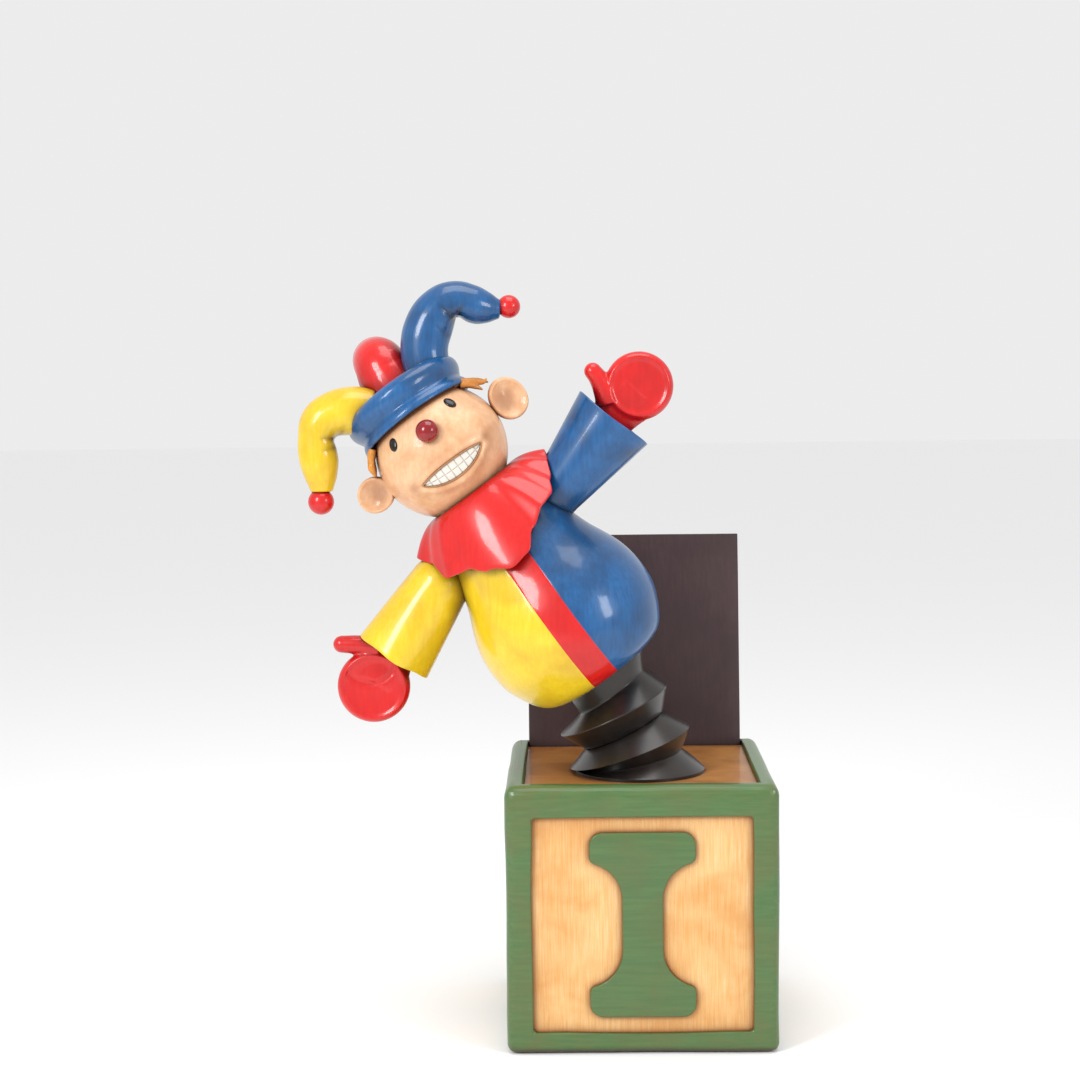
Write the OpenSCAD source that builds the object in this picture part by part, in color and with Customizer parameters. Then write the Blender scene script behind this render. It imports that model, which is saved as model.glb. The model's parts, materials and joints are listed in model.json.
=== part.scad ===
// Jack in the box, floor-standing display size.
// A framed alphabet-block box carries a leaning jester on a black bellows.
// Millimetres, +Z up, front faces -Y, origin at the centre of the box's underside.

/* [Box] */
// Width and depth of the square box
box_w = 540; // [440:1:660]
// Height of the box from the floor to the top of its frame
box_h = 536; // [440:1:660]
// Width of the corner posts, as seen from the front
post_w = 53; // [36:1:80]
// Height of the bottom rails
bottom_rail_h = 44; // [30:1:70]
// Height of the top rails
top_rail_h = 62; // [45:1:90]
// Width of the top rails, as seen from above
top_rail_w = 38; // [30:1:60]
// Radius of the frame's outer edges
edge_r = 16; // [4:1:20]
// Depth of the side panels behind the face of the frame
panel_recess = 12; // [6:1:20]
// Thickness of the side panels
panel_t = 12; // [6:1:18]
// Depth of the grooves that hold the panels, deck and base
groove = 8; // [4:1:14]
// Depth of the deck below the top of the frame
deck_recess = 12; // [6:1:24]
// Thickness of the deck and of the base
deck_t = 12; // [8:1:18]

/* [Letter plate] */
// Gap between the raised plate and the frame at its sides
plate_side_gap = 112.5; // [80:0.5:140]
// Gap between the raised plate and the frame at its top and bottom
plate_end_gap = 30.5; // [15:0.5:80]
// Width of the plate at its waist
waist_w = 80; // [50:1:120]
// Radius of the plate's side hollows
bite_r = 75; // [50:1:90]
// Height of the plate's flanges at their tips
flange_h = 59.5; // [40:0.5:60]
// How far the plate stands proud of the panel
plate_t = 10; // [4:1:11]
// Radius of the plate's outer corners
plate_corner_r = 26; // [8:1:40]

/* [Lid] */
// Thickness of the lid
lid_t = 15; // [10:1:20]
// Length of the lid from its hinge axis to its free edge
lid_len = 472; // [380:1:560]
// Angle of the resting lid behind vertical
lid_lean = 6.5; // [0:0.5:12]
// Gap between the lid's edges and the frame
lid_gap = 1; // [0.5:0.1:3]
// Radius of the hinge rod
lid_rod_r = 4; // [3:0.5:5]

/* [Ballast and bracket] */
// Gap between the square ballast block and the frame
ballast_gap = 27; // [10:1:60]
// Height of the ballast block
ballast_h = 60; // [30:1:120]
// Radius of the support tube under the deck
support_r = 60; // [50:1:80]
// Wall of the support tube
support_wall = 4; // [2:0.5:8]
// Height of the pivot above the deck
pivot_h = 94; // [80:1:130]
// Radius of the pivot pin
pivot_r = 8; // [6:0.5:12]
// Thickness of the bracket's base plate and ears
bracket_t = 8; // [6:0.5:12]
// Radius of the bracket's ears
ear_tab_r = 18; // [16:0.5:24]
// Gap between the bracket's ears
fork_gap = 30; // [29:0.5:40]
// Radius of the bracket's bolts
bolt_r = 4; // [3:0.5:6]

/* [Spring mast] */
// Angle of the figure from vertical, towards -X
lean = 36; // [20:1:40]
// Radius of the guide post
post_r = 14; // [10:0.5:14]
// Gap between the top of the guide post and the neck plate
post_top_gap = 108; // [60:1:200]
// Height of the spring seat above the pivot
seat_z = 36; // [32:1:50]
// Radius of the spring seat
seat_r = 44; // [30:1:50]
// Mean radius of the coil spring
coil_r = 34; // [24:1:38]
// Radius of the coil spring's wire
coil_wire_r = 4; // [3:0.5:5]
// Number of turns of the coil spring
coil_turns = 4; // [3:1:6]
// Wall of the guide sleeve that slides on the post
sleeve_tube_wall = 6; // [4:0.5:10]

/* [Bellows] */
// Radius of the bellows foot on the deck
foot_r = 133; // [110:1:145]
// Radius of the lower fold
lower_fold_r = 130; // [110:1:140]
// Radius of the upper fold
upper_fold_r = 121; // [105:1:130]
// Radius of the groove between the folds
fold_groove_r = 89; // [80:1:95]
// Radius of the bellows where it enters the body
bellows_top_r = 92; // [86:1:93]
// Wall of the bellows
bellows_wall = 4; // [3:0.5:5]

/* [Body] */
// Largest radius of the body
belly_r = 191; // [160:1:230]
// Radius of the opening under the body
body_mouth_r = 99; // [98:1:110]
// Radius of the top of the body
neck_r = 88; // [80:1:92]
// Height of the bottom of the body above the pivot
body_z = 138; // [138:1:160]
// Height of the belly's widest point above the pivot
belly_z = 270; // [240:1:300]
// Height of the top of the body above the pivot
neck_z = 560; // [460:1:680]
// Wall of the body and of the sleeves
skin = 5; // [3:0.5:8]
// Width of the stripe down the body
stripe_w = 57; // [30:1:90]

/* [Collar] */
// Distance of the collar's ruffled edge outside the body's shoulder
collar_overhang = 38; // [20:1:60]
// Radius of the collar at its neck
collar_neck_r = 93; // [92:1:100]
// Drop of the ruffled edge from where the collar hangs, at the shoulders
collar_side_drop = 24; // [14:1:36]
// Drop of the ruffled edge from where the collar hangs, at the front and rear
collar_front_drop = 148; // [100:1:170]
// Number of ruffles
ruffles = 10; // [6:2:16]
// Thickness of the collar
collar_t = 7; // [4:0.5:10]

/* [Head] */
// Radius of the head
head_r = 135; // [110:1:165]
// Gap between the head and the top of the body
neck_gap = 6; // [4:0.5:30]
// Wall of the head
head_wall = 5; // [4:0.5:8]
// Turn of the face towards +X
face_turn = 4.5; // [-20:0.5:20]
// Radius of the neck spigot
spigot_r = 22; // [16:0.5:28]
// Radius of the ears
ear_r = 41; // [30:1:50]
// Radius of the nose
nose_r = 23; // [15:1:30]
// Half width of the mouth
mouth_half_w = 80; // [50:1:90]
// Height of the mouth at its middle
mouth_h = 38; // [20:1:50]

/* [Hat] */
// How far the hat band's upper roll lies inside the head's radius
band_inset = 2; // [0:0.5:10]
// Tilt of the hat towards the rear
hat_tilt = 10; // [0:1:15]
// Radius of the horns at their roots
horn_r = 50; // [40:1:56]
// Wall of the horns
horn_wall = 4; // [3:0.5:6]
// Radius of the bobbles
bobble_r = 24; // [18:1:30]

/* [Right arm] */
// Distance of the right shoulder's centre outside the body's shoulder
right_shoulder_out = 6.5; // [0:0.5:15]
// Height of the right shoulder below the top of the body
right_shoulder_drop = 65; // [60:1:75]
// Angle of the right arm above the body's horizontal
right_arm_angle = 15.5; // [0:0.5:16]
// Radius of the right sleeve at the shoulder
right_arm_r = 54.6; // [48:0.1:56]
// Radius of the right sleeve at the cuff
right_cuff_r = 88.5; // [70:0.5:100]
// Length of the right sleeve
right_arm_len = 194; // [150:1:230]

/* [Left arm] */
// Distance of the left shoulder's centre outside the body's shoulder
left_shoulder_out = 39.4; // [30:0.5:45]
// Height of the left shoulder below the top of the body
left_shoulder_drop = 76; // [74:1:90]
// Angle of the left arm above the body's horizontal
left_arm_angle = -20.3; // [-30:0.5:-10]
// Radius of the left sleeve at the shoulder
left_arm_r = 62.9; // [56:0.1:64]
// Radius of the left sleeve at the cuff
left_cuff_r = 83.2; // [70:0.5:100]
// Length of the left sleeve
left_arm_len = 173; // [140:1:210]

/* [Gloves] */
// Radius of the right palm
right_palm_r = 70; // [55:1:85]
// Radius of the left palm
left_palm_r = 75; // [55:1:85]
// Thickness of the palms
palm_t = 34; // [24:1:44]
// Radius of the thumbs
thumb_r = 19; // [12:1:24]
// Radius of the wrists
wrist_r = 24; // [18:1:30]

/* [Fits] */
// Radial clearance of pins and posts that turn or slide
run_fit = 0.05; // [0.01:0.01:0.1]
// Clearance between skins that move past each other
skin_gap = 0.6; // [0.3:0.1:1]

/* [Hidden] */
$fn = 64;

half_w = box_w / 2;
panel_half = half_w - post_w;
deck_half = half_w - top_rail_w;
panel_z0 = bottom_rail_h;
panel_z1 = box_h - top_rail_h;
panel_mid_z = (panel_z0 + panel_z1) / 2;
deck_z = box_h - deck_recess;
lid_axis_z = deck_z - 10;
lid_axis_y = half_w - 22;
lid_half_w = deck_half - lid_gap;
deck_rear_y = lid_axis_y - lid_t / 2 - 3;
plate_w = 2 * (panel_half - plate_side_gap);
plate_h = panel_z1 - panel_z0 - 2 * plate_end_gap;
bite_half = plate_h / 2 - flange_h - bite_r;
lid_pocket_y = lid_axis_y + lid_t / 2 * cos(lid_lean) + (box_h - lid_axis_z) * sin(lid_lean) + 0.5;

pivot_x = 17;
pivot_y = -40;
pivot_z = deck_z + pivot_h;
ballast_x = 30;
ballast_w = 2 * (panel_half + pivot_y - ballast_gap);
bolt_dx = support_r - 20;
bolt_dy = 24;
bolt_margin = 15;
bolt_head_r = bolt_r * 1.8;
nut_h = 6;
tube_r = post_r + sleeve_tube_wall;
seat_t = 6;
waist_plate_z = body_z + 10;
plate_wall = 8;
neck_plate_z = neck_z - 12;
post_len = neck_plate_z - post_top_gap;
shoulder_inset = 61;
shoulder_r = belly_r - shoulder_inset;
right_shoulder_x = shoulder_r + right_shoulder_out;
left_shoulder_x = shoulder_r + left_shoulder_out;
collar_r = shoulder_r + collar_overhang;
head_z = neck_z + neck_gap + head_r;
head_floor_z = head_z - head_r + 2;
spigot_flange_w = 10;
peg_r = 9;
peg_flange_r = 17;
peg_flange_t = 10;
peg_len = 180;
boss_r = 24;

// Bellows rings: share of the way across and up from foot to body, share of the lean, radius.
foot_x = 3;
foot_t = 6;
fold_gap = 0.0025;
groove_ratio = 0.82;
bellows_top = [pivot_x - (body_z + 2) * sin(lean), pivot_z + (body_z + 2) * cos(lean)];
lower_rings = [
    [0, 0, 0, foot_r],
    [0, foot_t / (bellows_top[1] - deck_z), 0, foot_r],
    [0.277, 0.12, 0.31, lower_fold_r * groove_ratio],
    [0.291, 0.241, 0.54, lower_fold_r],
    [0.466, 0.415 - fold_gap, 0.72, fold_groove_r]
];
upper_rings = [
    [0.466, 0.415, 0.72, fold_groove_r],
    [0.77, 0.613, 0.69, upper_fold_r],
    [0.834, 0.80, 1, bellows_top_r - 12],
    [1, 1, 1, bellows_top_r]
];

// Horns, each in its own upright plane: curve points [out, up] from the head's centre, as shares of
// the head's radius, the tip's share of the root's radius, and the turn of the plane.
right_horn_curve = head_r * [[0.296, 1.052], [0.83, 1.719], [1.807, 1.941], [1.985, 1.185]];
left_horn_curve = head_r * [[0.296, 1.052], [0.741, 1.615], [1.422, 1.689], [1.815, 0.607]];
rear_horn_curve = head_r * [[0.333, 1.052], [0.444, 2.037], [1.444, 2.111], [1.519, 0.926]];
right_horn_tip = 0.36;
left_horn_tip = 0.46;
rear_horn_tip = 0.45;
right_horn_turn = -8;
left_horn_turn = 188;
rear_horn_turn = 88;

// ---- helpers ----

// Point at share t of a cubic curve.
function bez(p, t) =
    pow(1 - t, 3) * p[0] + 3 * pow(1 - t, 2) * t * p[1] + 3 * (1 - t) * t * t * p[2] + pow(t, 3) * p[3];

// Skins a list of rings, each a list of points. A closed skin joins its last ring to its first.
module loft(rings, closed) {
    n = len(rings);
    m = len(rings[0]);
    steps = closed ? n : n - 1;
    walls = [for (i = [0 : steps - 1], j = [0 : m - 1])
        let (a = i * m, b = ((i + 1) % n) * m, k = (j + 1) % m) [a + j, b + j, b + k, a + k]];
    caps = closed ? [] : [[for (j = [0 : m - 1]) j], [for (j = [m - 1 : -1 : 0]) (n - 1) * m + j]];
    polyhedron(points = [for (r = rings) each r], faces = concat(walls, caps), convexity = 8);
}

// Ring of m points round centre c in the XZ plane, square to direction d.
function ring_xz(c, d, r, m) =
    let (t = d / norm(d))
    [for (j = [0 : m - 1]) let (a = 360 * j / m)
        [c[0] + r * cos(a) * t[1], r * sin(a), c[1] - r * cos(a) * t[0]]];

module rounded_rect(w, h, r) {
    square([w - 2 * r, h], center = true);
    square([w, h - 2 * r], center = true);
    for (x = [-1, 1], y = [-1, 1])
        translate([x * (w / 2 - r), y * (h / 2 - r)]) circle(r);
}

// The box's outer shape, with all its edges rounded.
module envelope() {
    intersection() {
        linear_extrude(box_h) rounded_rect(box_w, box_w, edge_r);
        translate([0, half_w, box_h / 2]) rotate([90, 0, 0])
            linear_extrude(box_w) rounded_rect(box_w, box_h, edge_r);
        translate([-half_w, 0, box_h / 2]) rotate([90, 0, 90])
            linear_extrude(box_w) rounded_rect(box_w, box_h, edge_r);
    }
}

module block(x0, x1, y0, y1, z0, z1) {
    translate([x0, y0, z0]) cube([x1 - x0, y1 - y0, z1 - z0]);
}

// Moves a shape from the front to side k, counted by quarter turns.
module on_side(k) rotate([0, 0, 90 * k]) children();

module figure_frame() translate([pivot_x, pivot_y, pivot_z]) rotate([0, -lean, 0]) children();
module head_frame() figure_frame() translate([0, 0, head_z]) rotate([0, 0, face_turn]) children();
module hat_frame() head_frame() rotate([-hat_tilt, 0, 0]) children();

// Arm frames: +X runs along the arm from the shoulder, +Z is the thumb's side.
module right_arm_frame() figure_frame()
    translate([right_shoulder_x, 0, neck_z - right_shoulder_drop])
    rotate([0, -right_arm_angle, 0]) children();
module left_arm_frame() figure_frame() mirror([1, 0, 0])
    translate([left_shoulder_x, 0, neck_z - left_shoulder_drop])
    rotate([0, -left_arm_angle, 0]) children();

// ---- box ----

module panel_front_shape() {
    y0 = -half_w + panel_recess;
    block(-panel_half - groove, panel_half + groove, y0, y0 + panel_t, panel_z0 - groove, panel_z1 + groove);
}

module all_panels() for (k = [0 : 3]) on_side(k) panel_front_shape();

module deck_shape() block(-deck_half - groove, deck_half + groove, -deck_half - groove, deck_rear_y,
    deck_z - deck_t, deck_z);

module base_shape() block(-panel_half - groove, panel_half + groove, -panel_half - groove,
    panel_half + groove, 0, deck_t);

// Slot for the lid's knuckle behind the deck, open to the front above it so the lid can swing.
module lid_pocket() {
    block(-deck_half, deck_half, deck_rear_y - 1, lid_pocket_y, lid_axis_z - lid_t / 2 - 2, box_h + 1);
    block(-deck_half, deck_half, deck_half - 1, deck_rear_y, deck_z, box_h + 1);
}

module rod_hole(r) translate([0, lid_axis_y, lid_axis_z]) rotate([0, 90, 0])
    cylinder(h = 2 * (deck_half + top_rail_w / 2), r = r, center = true);

module corner_post(sx, sy) color("#5f8a5c") difference() {
    intersection() {
        envelope();
        translate([sx * (half_w - post_w / 2), sy * (half_w - post_w / 2), (panel_z0 + panel_z1) / 2])
            cube([post_w, post_w, panel_z1 - panel_z0], center = true);
    }
    all_panels();
}

module bottom_rail(x, y, k) color("#5f8a5c") on_side(k) difference() {
    intersection() {
        envelope();
        block(-x, x, -half_w, -y, 0, bottom_rail_h);
    }
    all_panels();
    base_shape();
}

module top_rail(x, k) color("#5f8a5c") difference() {
    on_side(k) intersection() {
        envelope();
        block(-x, x, -half_w, -deck_half, panel_z1, box_h);
    }
    all_panels();
    deck_shape();
    lid_pocket();
    rod_hole(lid_rod_r);
}

module panel(k) color("#d9b070") on_side(k) panel_front_shape();

module plate_outline() difference() {
    rounded_rect(plate_w, plate_h, plate_corner_r);
    for (x = [-1, 1]) {
        for (y = [-1, 1]) translate([x * (waist_w / 2 + bite_r), y * bite_half]) circle(bite_r);
        translate([x * (waist_w / 2 + bite_r), 0]) square([2 * bite_r, 2 * bite_half], center = true);
    }
}

module plate(k) color("#4f7f4d") on_side(k)
    translate([0, -half_w + panel_recess, panel_mid_z]) rotate([90, 0, 0])
    linear_extrude(plate_t) plate_outline();

module bolt_places() for (x = [-1, 1], y = [-1, 1])
    translate([pivot_x + x * bolt_dx, pivot_y + y * bolt_dy, 0]) children();

module deck_panel() color("#c98f4e") difference() {
    deck_shape();
    bolt_places() translate([0, 0, deck_z - deck_t - 1]) cylinder(h = deck_t + 2, r = bolt_r);
}

module base_panel() color("#b98a54") base_shape();

module ballast_block() color("#8c8c86")
    translate([ballast_x - ballast_w / 2, pivot_y - ballast_w / 2, deck_t])
    cube([ballast_w, ballast_w, ballast_h]);

module support_tube() color("#6d7276")
    translate([pivot_x, pivot_y, deck_t + ballast_h]) difference() {
        h = deck_z - 2 * deck_t - ballast_h;
        cylinder(h = h, r = support_r);
        translate([0, 0, -1]) cylinder(h = h + 2, r = support_r - support_wall);
    }

module pivot_bracket() color("#6d7276") translate([pivot_x, pivot_y, deck_z]) difference() {
    union() {
        translate([0, 0, bracket_t / 2])
            cube([2 * (bolt_dx + bolt_margin), 2 * (bolt_dy + bolt_margin), bracket_t], center = true);
        for (s = [-1, 1]) translate([0, s * (fork_gap + bracket_t) / 2, 0]) {
            translate([0, 0, pivot_h / 2]) cube([2 * ear_tab_r, bracket_t, pivot_h], center = true);
            translate([0, 0, pivot_h]) rotate([90, 0, 0])
                cylinder(h = bracket_t, r = ear_tab_r, center = true);
        }
    }
    translate([0, 0, pivot_h]) rotate([90, 0, 0])
        cylinder(h = fork_gap + 4 * bracket_t, r = pivot_r, center = true);
    for (x = [-1, 1], y = [-1, 1]) translate([x * bolt_dx, y * bolt_dy, -1])
        cylinder(h = bracket_t + 2, r = bolt_r);
}

module bracket_bolts() color("#9a9da0") bolt_places() {
    translate([0, 0, deck_z - deck_t - nut_h - 2]) cylinder(h = deck_t + bracket_t + nut_h + 2, r = bolt_r);
    translate([0, 0, deck_z + bracket_t]) cylinder(h = nut_h - 1, r = bolt_head_r);
    translate([0, 0, deck_z - deck_t - nut_h]) cylinder(h = nut_h, r = bolt_head_r);
}

// ---- bellows ----

function bellows_ring(s, inset) =
    let (c = [foot_x + s[0] * (bellows_top[0] - foot_x), deck_z + s[1] * (bellows_top[1] - deck_z)],
         a = s[2] * lean)
    [for (p = ring_xz(c, [-sin(a), cos(a)], s[3] - inset, 64)) [p[0], p[1] + pivot_y, p[2]]];

module bellows(specs) color("#1d1c1e") {
    n = len(specs);
    loft([
        for (i = [0 : n - 1]) bellows_ring(specs[i], 0),
        for (i = [n - 1 : -1 : 0]) bellows_ring(specs[i], bellows_wall)
    ], true);
}

module bellows_lower() bellows(lower_rings);
module bellows_upper() bellows(upper_rings);

// ---- lid ----

module lid_panel() color("#3b2a2c")
    translate([0, lid_axis_y, lid_axis_z]) rotate([-lid_lean, 0, 0]) difference() {
        union() {
            translate([-lid_half_w, -lid_t / 2, 0]) cube([2 * lid_half_w, lid_t, lid_len]);
            rotate([0, 90, 0]) cylinder(h = 2 * lid_half_w, r = lid_t / 2, center = true);
        }
        rotate([0, 90, 0]) cylinder(h = box_w, r = lid_rod_r + run_fit, center = true);
    }

module lid_rod() color("#9a9da0") rod_hole(lid_rod_r);

// ---- spring mast ----

module pivot_pin() color("#9a9da0") translate([pivot_x, pivot_y, pivot_z]) rotate([90, 0, 0]) {
    span = fork_gap + 2 * bracket_t;
    cylinder(h = span, r = pivot_r, center = true);
    for (s = [-1, 1]) translate([0, 0, s * (span / 2 + 2)])
        cylinder(h = 4, r = pivot_r * 1.4, center = true);
}

module guide_post() color("#9a9da0") figure_frame() difference() {
    union() {
        rotate([90, 0, 0]) cylinder(h = fork_gap - 1, r = ear_tab_r, center = true);
        cylinder(h = post_len, r = post_r);
        translate([0, 0, seat_z]) cylinder(h = seat_t, r = seat_r);
    }
    rotate([90, 0, 0]) cylinder(h = fork_gap + 2, r = pivot_r + run_fit, center = true);
}

module coil_spring() color("#8f9498") figure_frame() {
    z0 = seat_z + seat_t + coil_wire_r;
    z1 = waist_plate_z - coil_wire_r;
    per_turn = 20;
    n = coil_turns * per_turn;
    rise = (z1 - z0) / n;
    loft([for (i = [0 : n])
        let (a = 360 * i / per_turn, e = [cos(a), sin(a), 0], c = coil_r * e + [0, 0, z0 + rise * i])
        [for (j = [0 : 7]) let (b = 45 * j) c + coil_wire_r * (cos(b) * e - [0, 0, sin(b)])]
    ], false);
}

// ---- body ----

shoulder_z = neck_z - 80;
belly_to_shoulder = shoulder_z - belly_z;

// Outline of the body's skin as [radius, height] points, moved in by d.
function body_side(d) = concat(
    [for (i = [0 : 10]) bez([[body_mouth_r, body_z], [body_mouth_r + 52, body_z + 2],
        [belly_r - 1, belly_z - 75], [belly_r, belly_z]], i / 10) - [d, 0]],
    [for (i = [1 : 12]) bez([[belly_r, belly_z], [belly_r, belly_z + 0.381 * belly_to_shoulder],
        [belly_r * 0.77, belly_z + 0.667 * belly_to_shoulder], [shoulder_r, shoulder_z]], i / 12) - [d, 0]],
    [[neck_r - d, neck_z]]
);

module body_solid(d) rotate_extrude($fn = 96)
    polygon(concat([[0, body_z]], body_side(d), [[0, neck_z]]));

module body_skin() rotate_extrude($fn = 96)
    polygon(concat(body_side(0), [for (i = [len(body_side(0)) - 1 : -1 : 0]) body_side(skin)[i]]));

// Round-ended sleeve solid, larger by g: a ball at the shoulder and a cone to the cuff.
module sleeve_solid(r1, r2, len, g) {
    sphere(r1 + g);
    rotate([0, 90, 0]) cylinder(h = len, r1 = r1 + g, r2 = r2 + g);
}

module sleeve_sockets() {
    translate([right_shoulder_x, 0, neck_z - right_shoulder_drop]) rotate([0, -right_arm_angle, 0])
        sleeve_solid(right_arm_r, right_cuff_r, right_arm_len, skin_gap);
    mirror([1, 0, 0]) translate([left_shoulder_x, 0, neck_z - left_shoulder_drop])
        rotate([0, -left_arm_angle, 0])
        sleeve_solid(left_arm_r, left_cuff_r, left_arm_len, skin_gap);
}

module torso_half(side) difference() {
    figure_frame() intersection() {
        body_skin();
        translate([side > 0 ? stripe_w / 2 : -2 * belly_r - stripe_w / 2, -2 * belly_r, 0])
            cube([2 * belly_r, 4 * belly_r, 2 * neck_z]);
    }
    figure_frame() sleeve_sockets();
    if (side > 0) right_arm_frame() peg_bore();
    else left_arm_frame() peg_bore();
}

module peg_bore() translate([-peg_len, 0, 0]) rotate([0, 90, 0]) cylinder(h = peg_len, r = peg_r);

module torso_left() color("#e6c81e") torso_half(-1);
module torso_right() color("#1f5aa6") torso_half(1);

module torso_stripe() color("#c31e22") figure_frame() intersection() {
    body_skin();
    translate([-stripe_w / 2, -2 * belly_r, 0]) cube([stripe_w, 4 * belly_r, 2 * neck_z]);
}

module waist_plate() color("#8a8d90") figure_frame() difference() {
    intersection() {
        body_solid(skin);
        translate([0, 0, waist_plate_z]) cylinder(h = plate_wall, r = belly_r);
    }
    cylinder(h = neck_z, r = tube_r);
}

module guide_sleeve() color("#8a8d90") figure_frame() translate([0, 0, waist_plate_z]) difference() {
    h = neck_plate_z - waist_plate_z;
    cylinder(h = h, r = tube_r);
    translate([0, 0, -1]) cylinder(h = h + 2, r = post_r + run_fit);
}

module neck_spigot() color("#8a8d90") figure_frame() {
    intersection() {
        body_solid(skin);
        translate([0, 0, neck_plate_z]) cylinder(h = plate_wall, r = belly_r);
    }
    translate([0, 0, neck_plate_z])
        cylinder(h = head_floor_z - 0.3 - neck_plate_z, r = spigot_r + spigot_flange_w);
    cap_z = head_z - head_r * 0.35;
    translate([0, 0, neck_plate_z]) cylinder(h = cap_z - neck_plate_z, r = spigot_r);
}

// Peg that an arm turns on, with a flange inside the sleeve that holds the sleeve on.
module shoulder_peg(r) {
    translate([-peg_len, 0, 0]) rotate([0, 90, 0]) cylinder(h = peg_len - r * 0.2, r = peg_r);
    translate([-r + skin + 8.3, 0, 0]) rotate([0, 90, 0]) cylinder(h = peg_flange_t, r = peg_flange_r);
}

module peg_keep_out() {
    cylinder(h = neck_z, r = tube_r);
    translate([-belly_r, -belly_r, neck_plate_z]) cube([2 * belly_r, 2 * belly_r, neck_z]);
}

module shoulder_peg_right() color("#9a9da0") difference() {
    right_arm_frame() shoulder_peg(right_arm_r);
    figure_frame() peg_keep_out();
    figure_frame() translate([-2 * belly_r, -belly_r, 0]) cube([2 * belly_r, 2 * belly_r, 2 * neck_z]);
}

module shoulder_peg_left() color("#9a9da0") difference() {
    left_arm_frame() shoulder_peg(left_arm_r);
    figure_frame() peg_keep_out();
    figure_frame() translate([0, -belly_r, 0]) cube([2 * belly_r, 2 * belly_r, 2 * neck_z]);
}

// The collar's neck lies 3 mm outside the head.
collar_top_z = head_z - sqrt(pow(head_r, 2) - pow(collar_neck_r - 3, 2));
collar_hang_z = neck_z + 40.4;

// Cross-section of the collar at angle a, as a closed ring of points.
function collar_section(a) =
    let (wave = cos(ruffles * a), top = collar_hang_z,
         drop = collar_side_drop + (collar_front_drop - collar_side_drop) * pow(sin(a), 2) - 7 * wave,
         edge_r = collar_r + 5 * wave, mid_r = collar_neck_r + (edge_r - collar_neck_r) * 0.55,
         mid_drop = drop * 0.38 - 3 * wave, t = collar_t, d = [cos(a), sin(a)])
    [for (p = [[collar_neck_r, collar_top_z], [mid_r, top - mid_drop], [edge_r, top - drop], [edge_r - 1, top - drop - t],
        [mid_r - t, top - mid_drop - t * 0.9], [collar_neck_r - 2, collar_top_z - 26]])
        [p[0] * d[0], p[0] * d[1], p[1]]];

module collar() color("#c31e22") figure_frame()
    loft([for (i = [0 : 119]) collar_section(-3 * i)], true);

// ---- arms ----

module sleeve(r1, r2, len) difference() {
    sleeve_solid(r1, r2, len, 0);
    difference() {
        union() {
            sphere(r1 - skin);
            rotate([0, 90, 0]) cylinder(h = len + 1, r1 = r1 - skin, r2 = r2 - skin + (r2 - r1) / len);
        }
        translate([-r1, 0, 0]) rotate([0, 90, 0]) cylinder(h = skin + 8, r = boss_r);
    }
    translate([-r1 - 1, 0, 0]) rotate([0, 90, 0]) cylinder(h = r1, r = peg_r + run_fit);
}

module sleeve_right() color("#1f5aa6") right_arm_frame() sleeve(right_arm_r, right_cuff_r, right_arm_len);
module sleeve_left() color("#e6c81e") left_arm_frame() sleeve(left_arm_r, left_cuff_r, left_arm_len);

// Glove: a round palm facing -Y, a wrist, a plug that closes the cuff, and a thumb.
module glove(palm_r, cuff_r, r1, len, thumb_from, thumb_to) {
    gap = 10;
    plug_t = 8;
    plug_x = len - 24;
    plug_r = r1 + (cuff_r - r1) * plug_x / len - skin;
    translate([len + gap + palm_r, 0, 0]) rotate([90, 0, 0]) rotate_extrude() {
        translate([0, -palm_t / 2]) square([palm_r - palm_t / 2, palm_t]);
        translate([palm_r - palm_t / 2, 0]) intersection() {
            circle(palm_t / 2);
            translate([-1, -palm_t]) square([palm_t, 2 * palm_t]);
        }
    }
    translate([plug_x, 0, 0]) rotate([0, 90, 0]) cylinder(h = len + gap + 20 - plug_x, r = wrist_r);
    translate([plug_x, 0, 0]) rotate([0, 90, 0]) cylinder(h = plug_t, r = plug_r);
    d = thumb_to - thumb_from;
    translate([len + gap + thumb_from[0], 0, thumb_from[1]]) {
        rotate([0, atan2(d[0], d[1]), 0]) {
            cylinder(h = norm(d), r = thumb_r);
            translate([0, 0, norm(d)]) sphere(thumb_r);
        }
        sphere(thumb_r);
    }
}

module glove_right() color("#c31e22") right_arm_frame()
    glove(right_palm_r, right_cuff_r, right_arm_r, right_arm_len, [40, 45], [36, 79]);
module glove_left() color("#c31e22") left_arm_frame()
    glove(left_palm_r, left_cuff_r, left_arm_r, left_arm_len, [24, 50], [30, 90]);

// ---- head ----

module head_shell() color("#e8b48c") head_frame() difference() {
    union() {
        difference() {
            sphere(head_r, $fn = 96);
            sphere(head_r - head_wall, $fn = 96);
        }
        translate([0, 0, head_floor_z - head_z]) cylinder(h = head_r * 0.6, r = spigot_r + 12);
    }
    translate([0, 0, -head_r - 1]) cylinder(h = head_r * 1.5, r = spigot_r + run_fit);
    translate([0, 0, -head_r - 20]) cylinder(h = head_floor_z - head_z + head_r + 20, r = head_r);
    mouth_prism(0, 3, 1);
    eye_prisms(1.5, 1);
}

// Band of the head's skin between two depths below (-) and above (+) its surface.
module face_band(lo, hi) difference() {
    sphere(head_r + hi, $fn = 96);
    sphere(head_r + lo, $fn = 96);
}

mouth_top = -head_r * 0.2;

// Mouth outline in the face's plane, larger by g.
module mouth_outline(g) {
    r = (pow(mouth_half_w, 2) + pow(mouth_h, 2)) / (2 * mouth_h);
    intersection() {
        translate([0, mouth_top - mouth_h + r]) circle(r + g, $fn = 96);
        translate([-head_r, mouth_top - head_r + g]) square([2 * head_r, head_r]);
    }
}

module mouth_prism(g, depth, height) intersection() {
    rotate([90, 0, 0]) linear_extrude(head_r + 20) mouth_outline(g);
    face_band(-depth, height);
}

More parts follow.
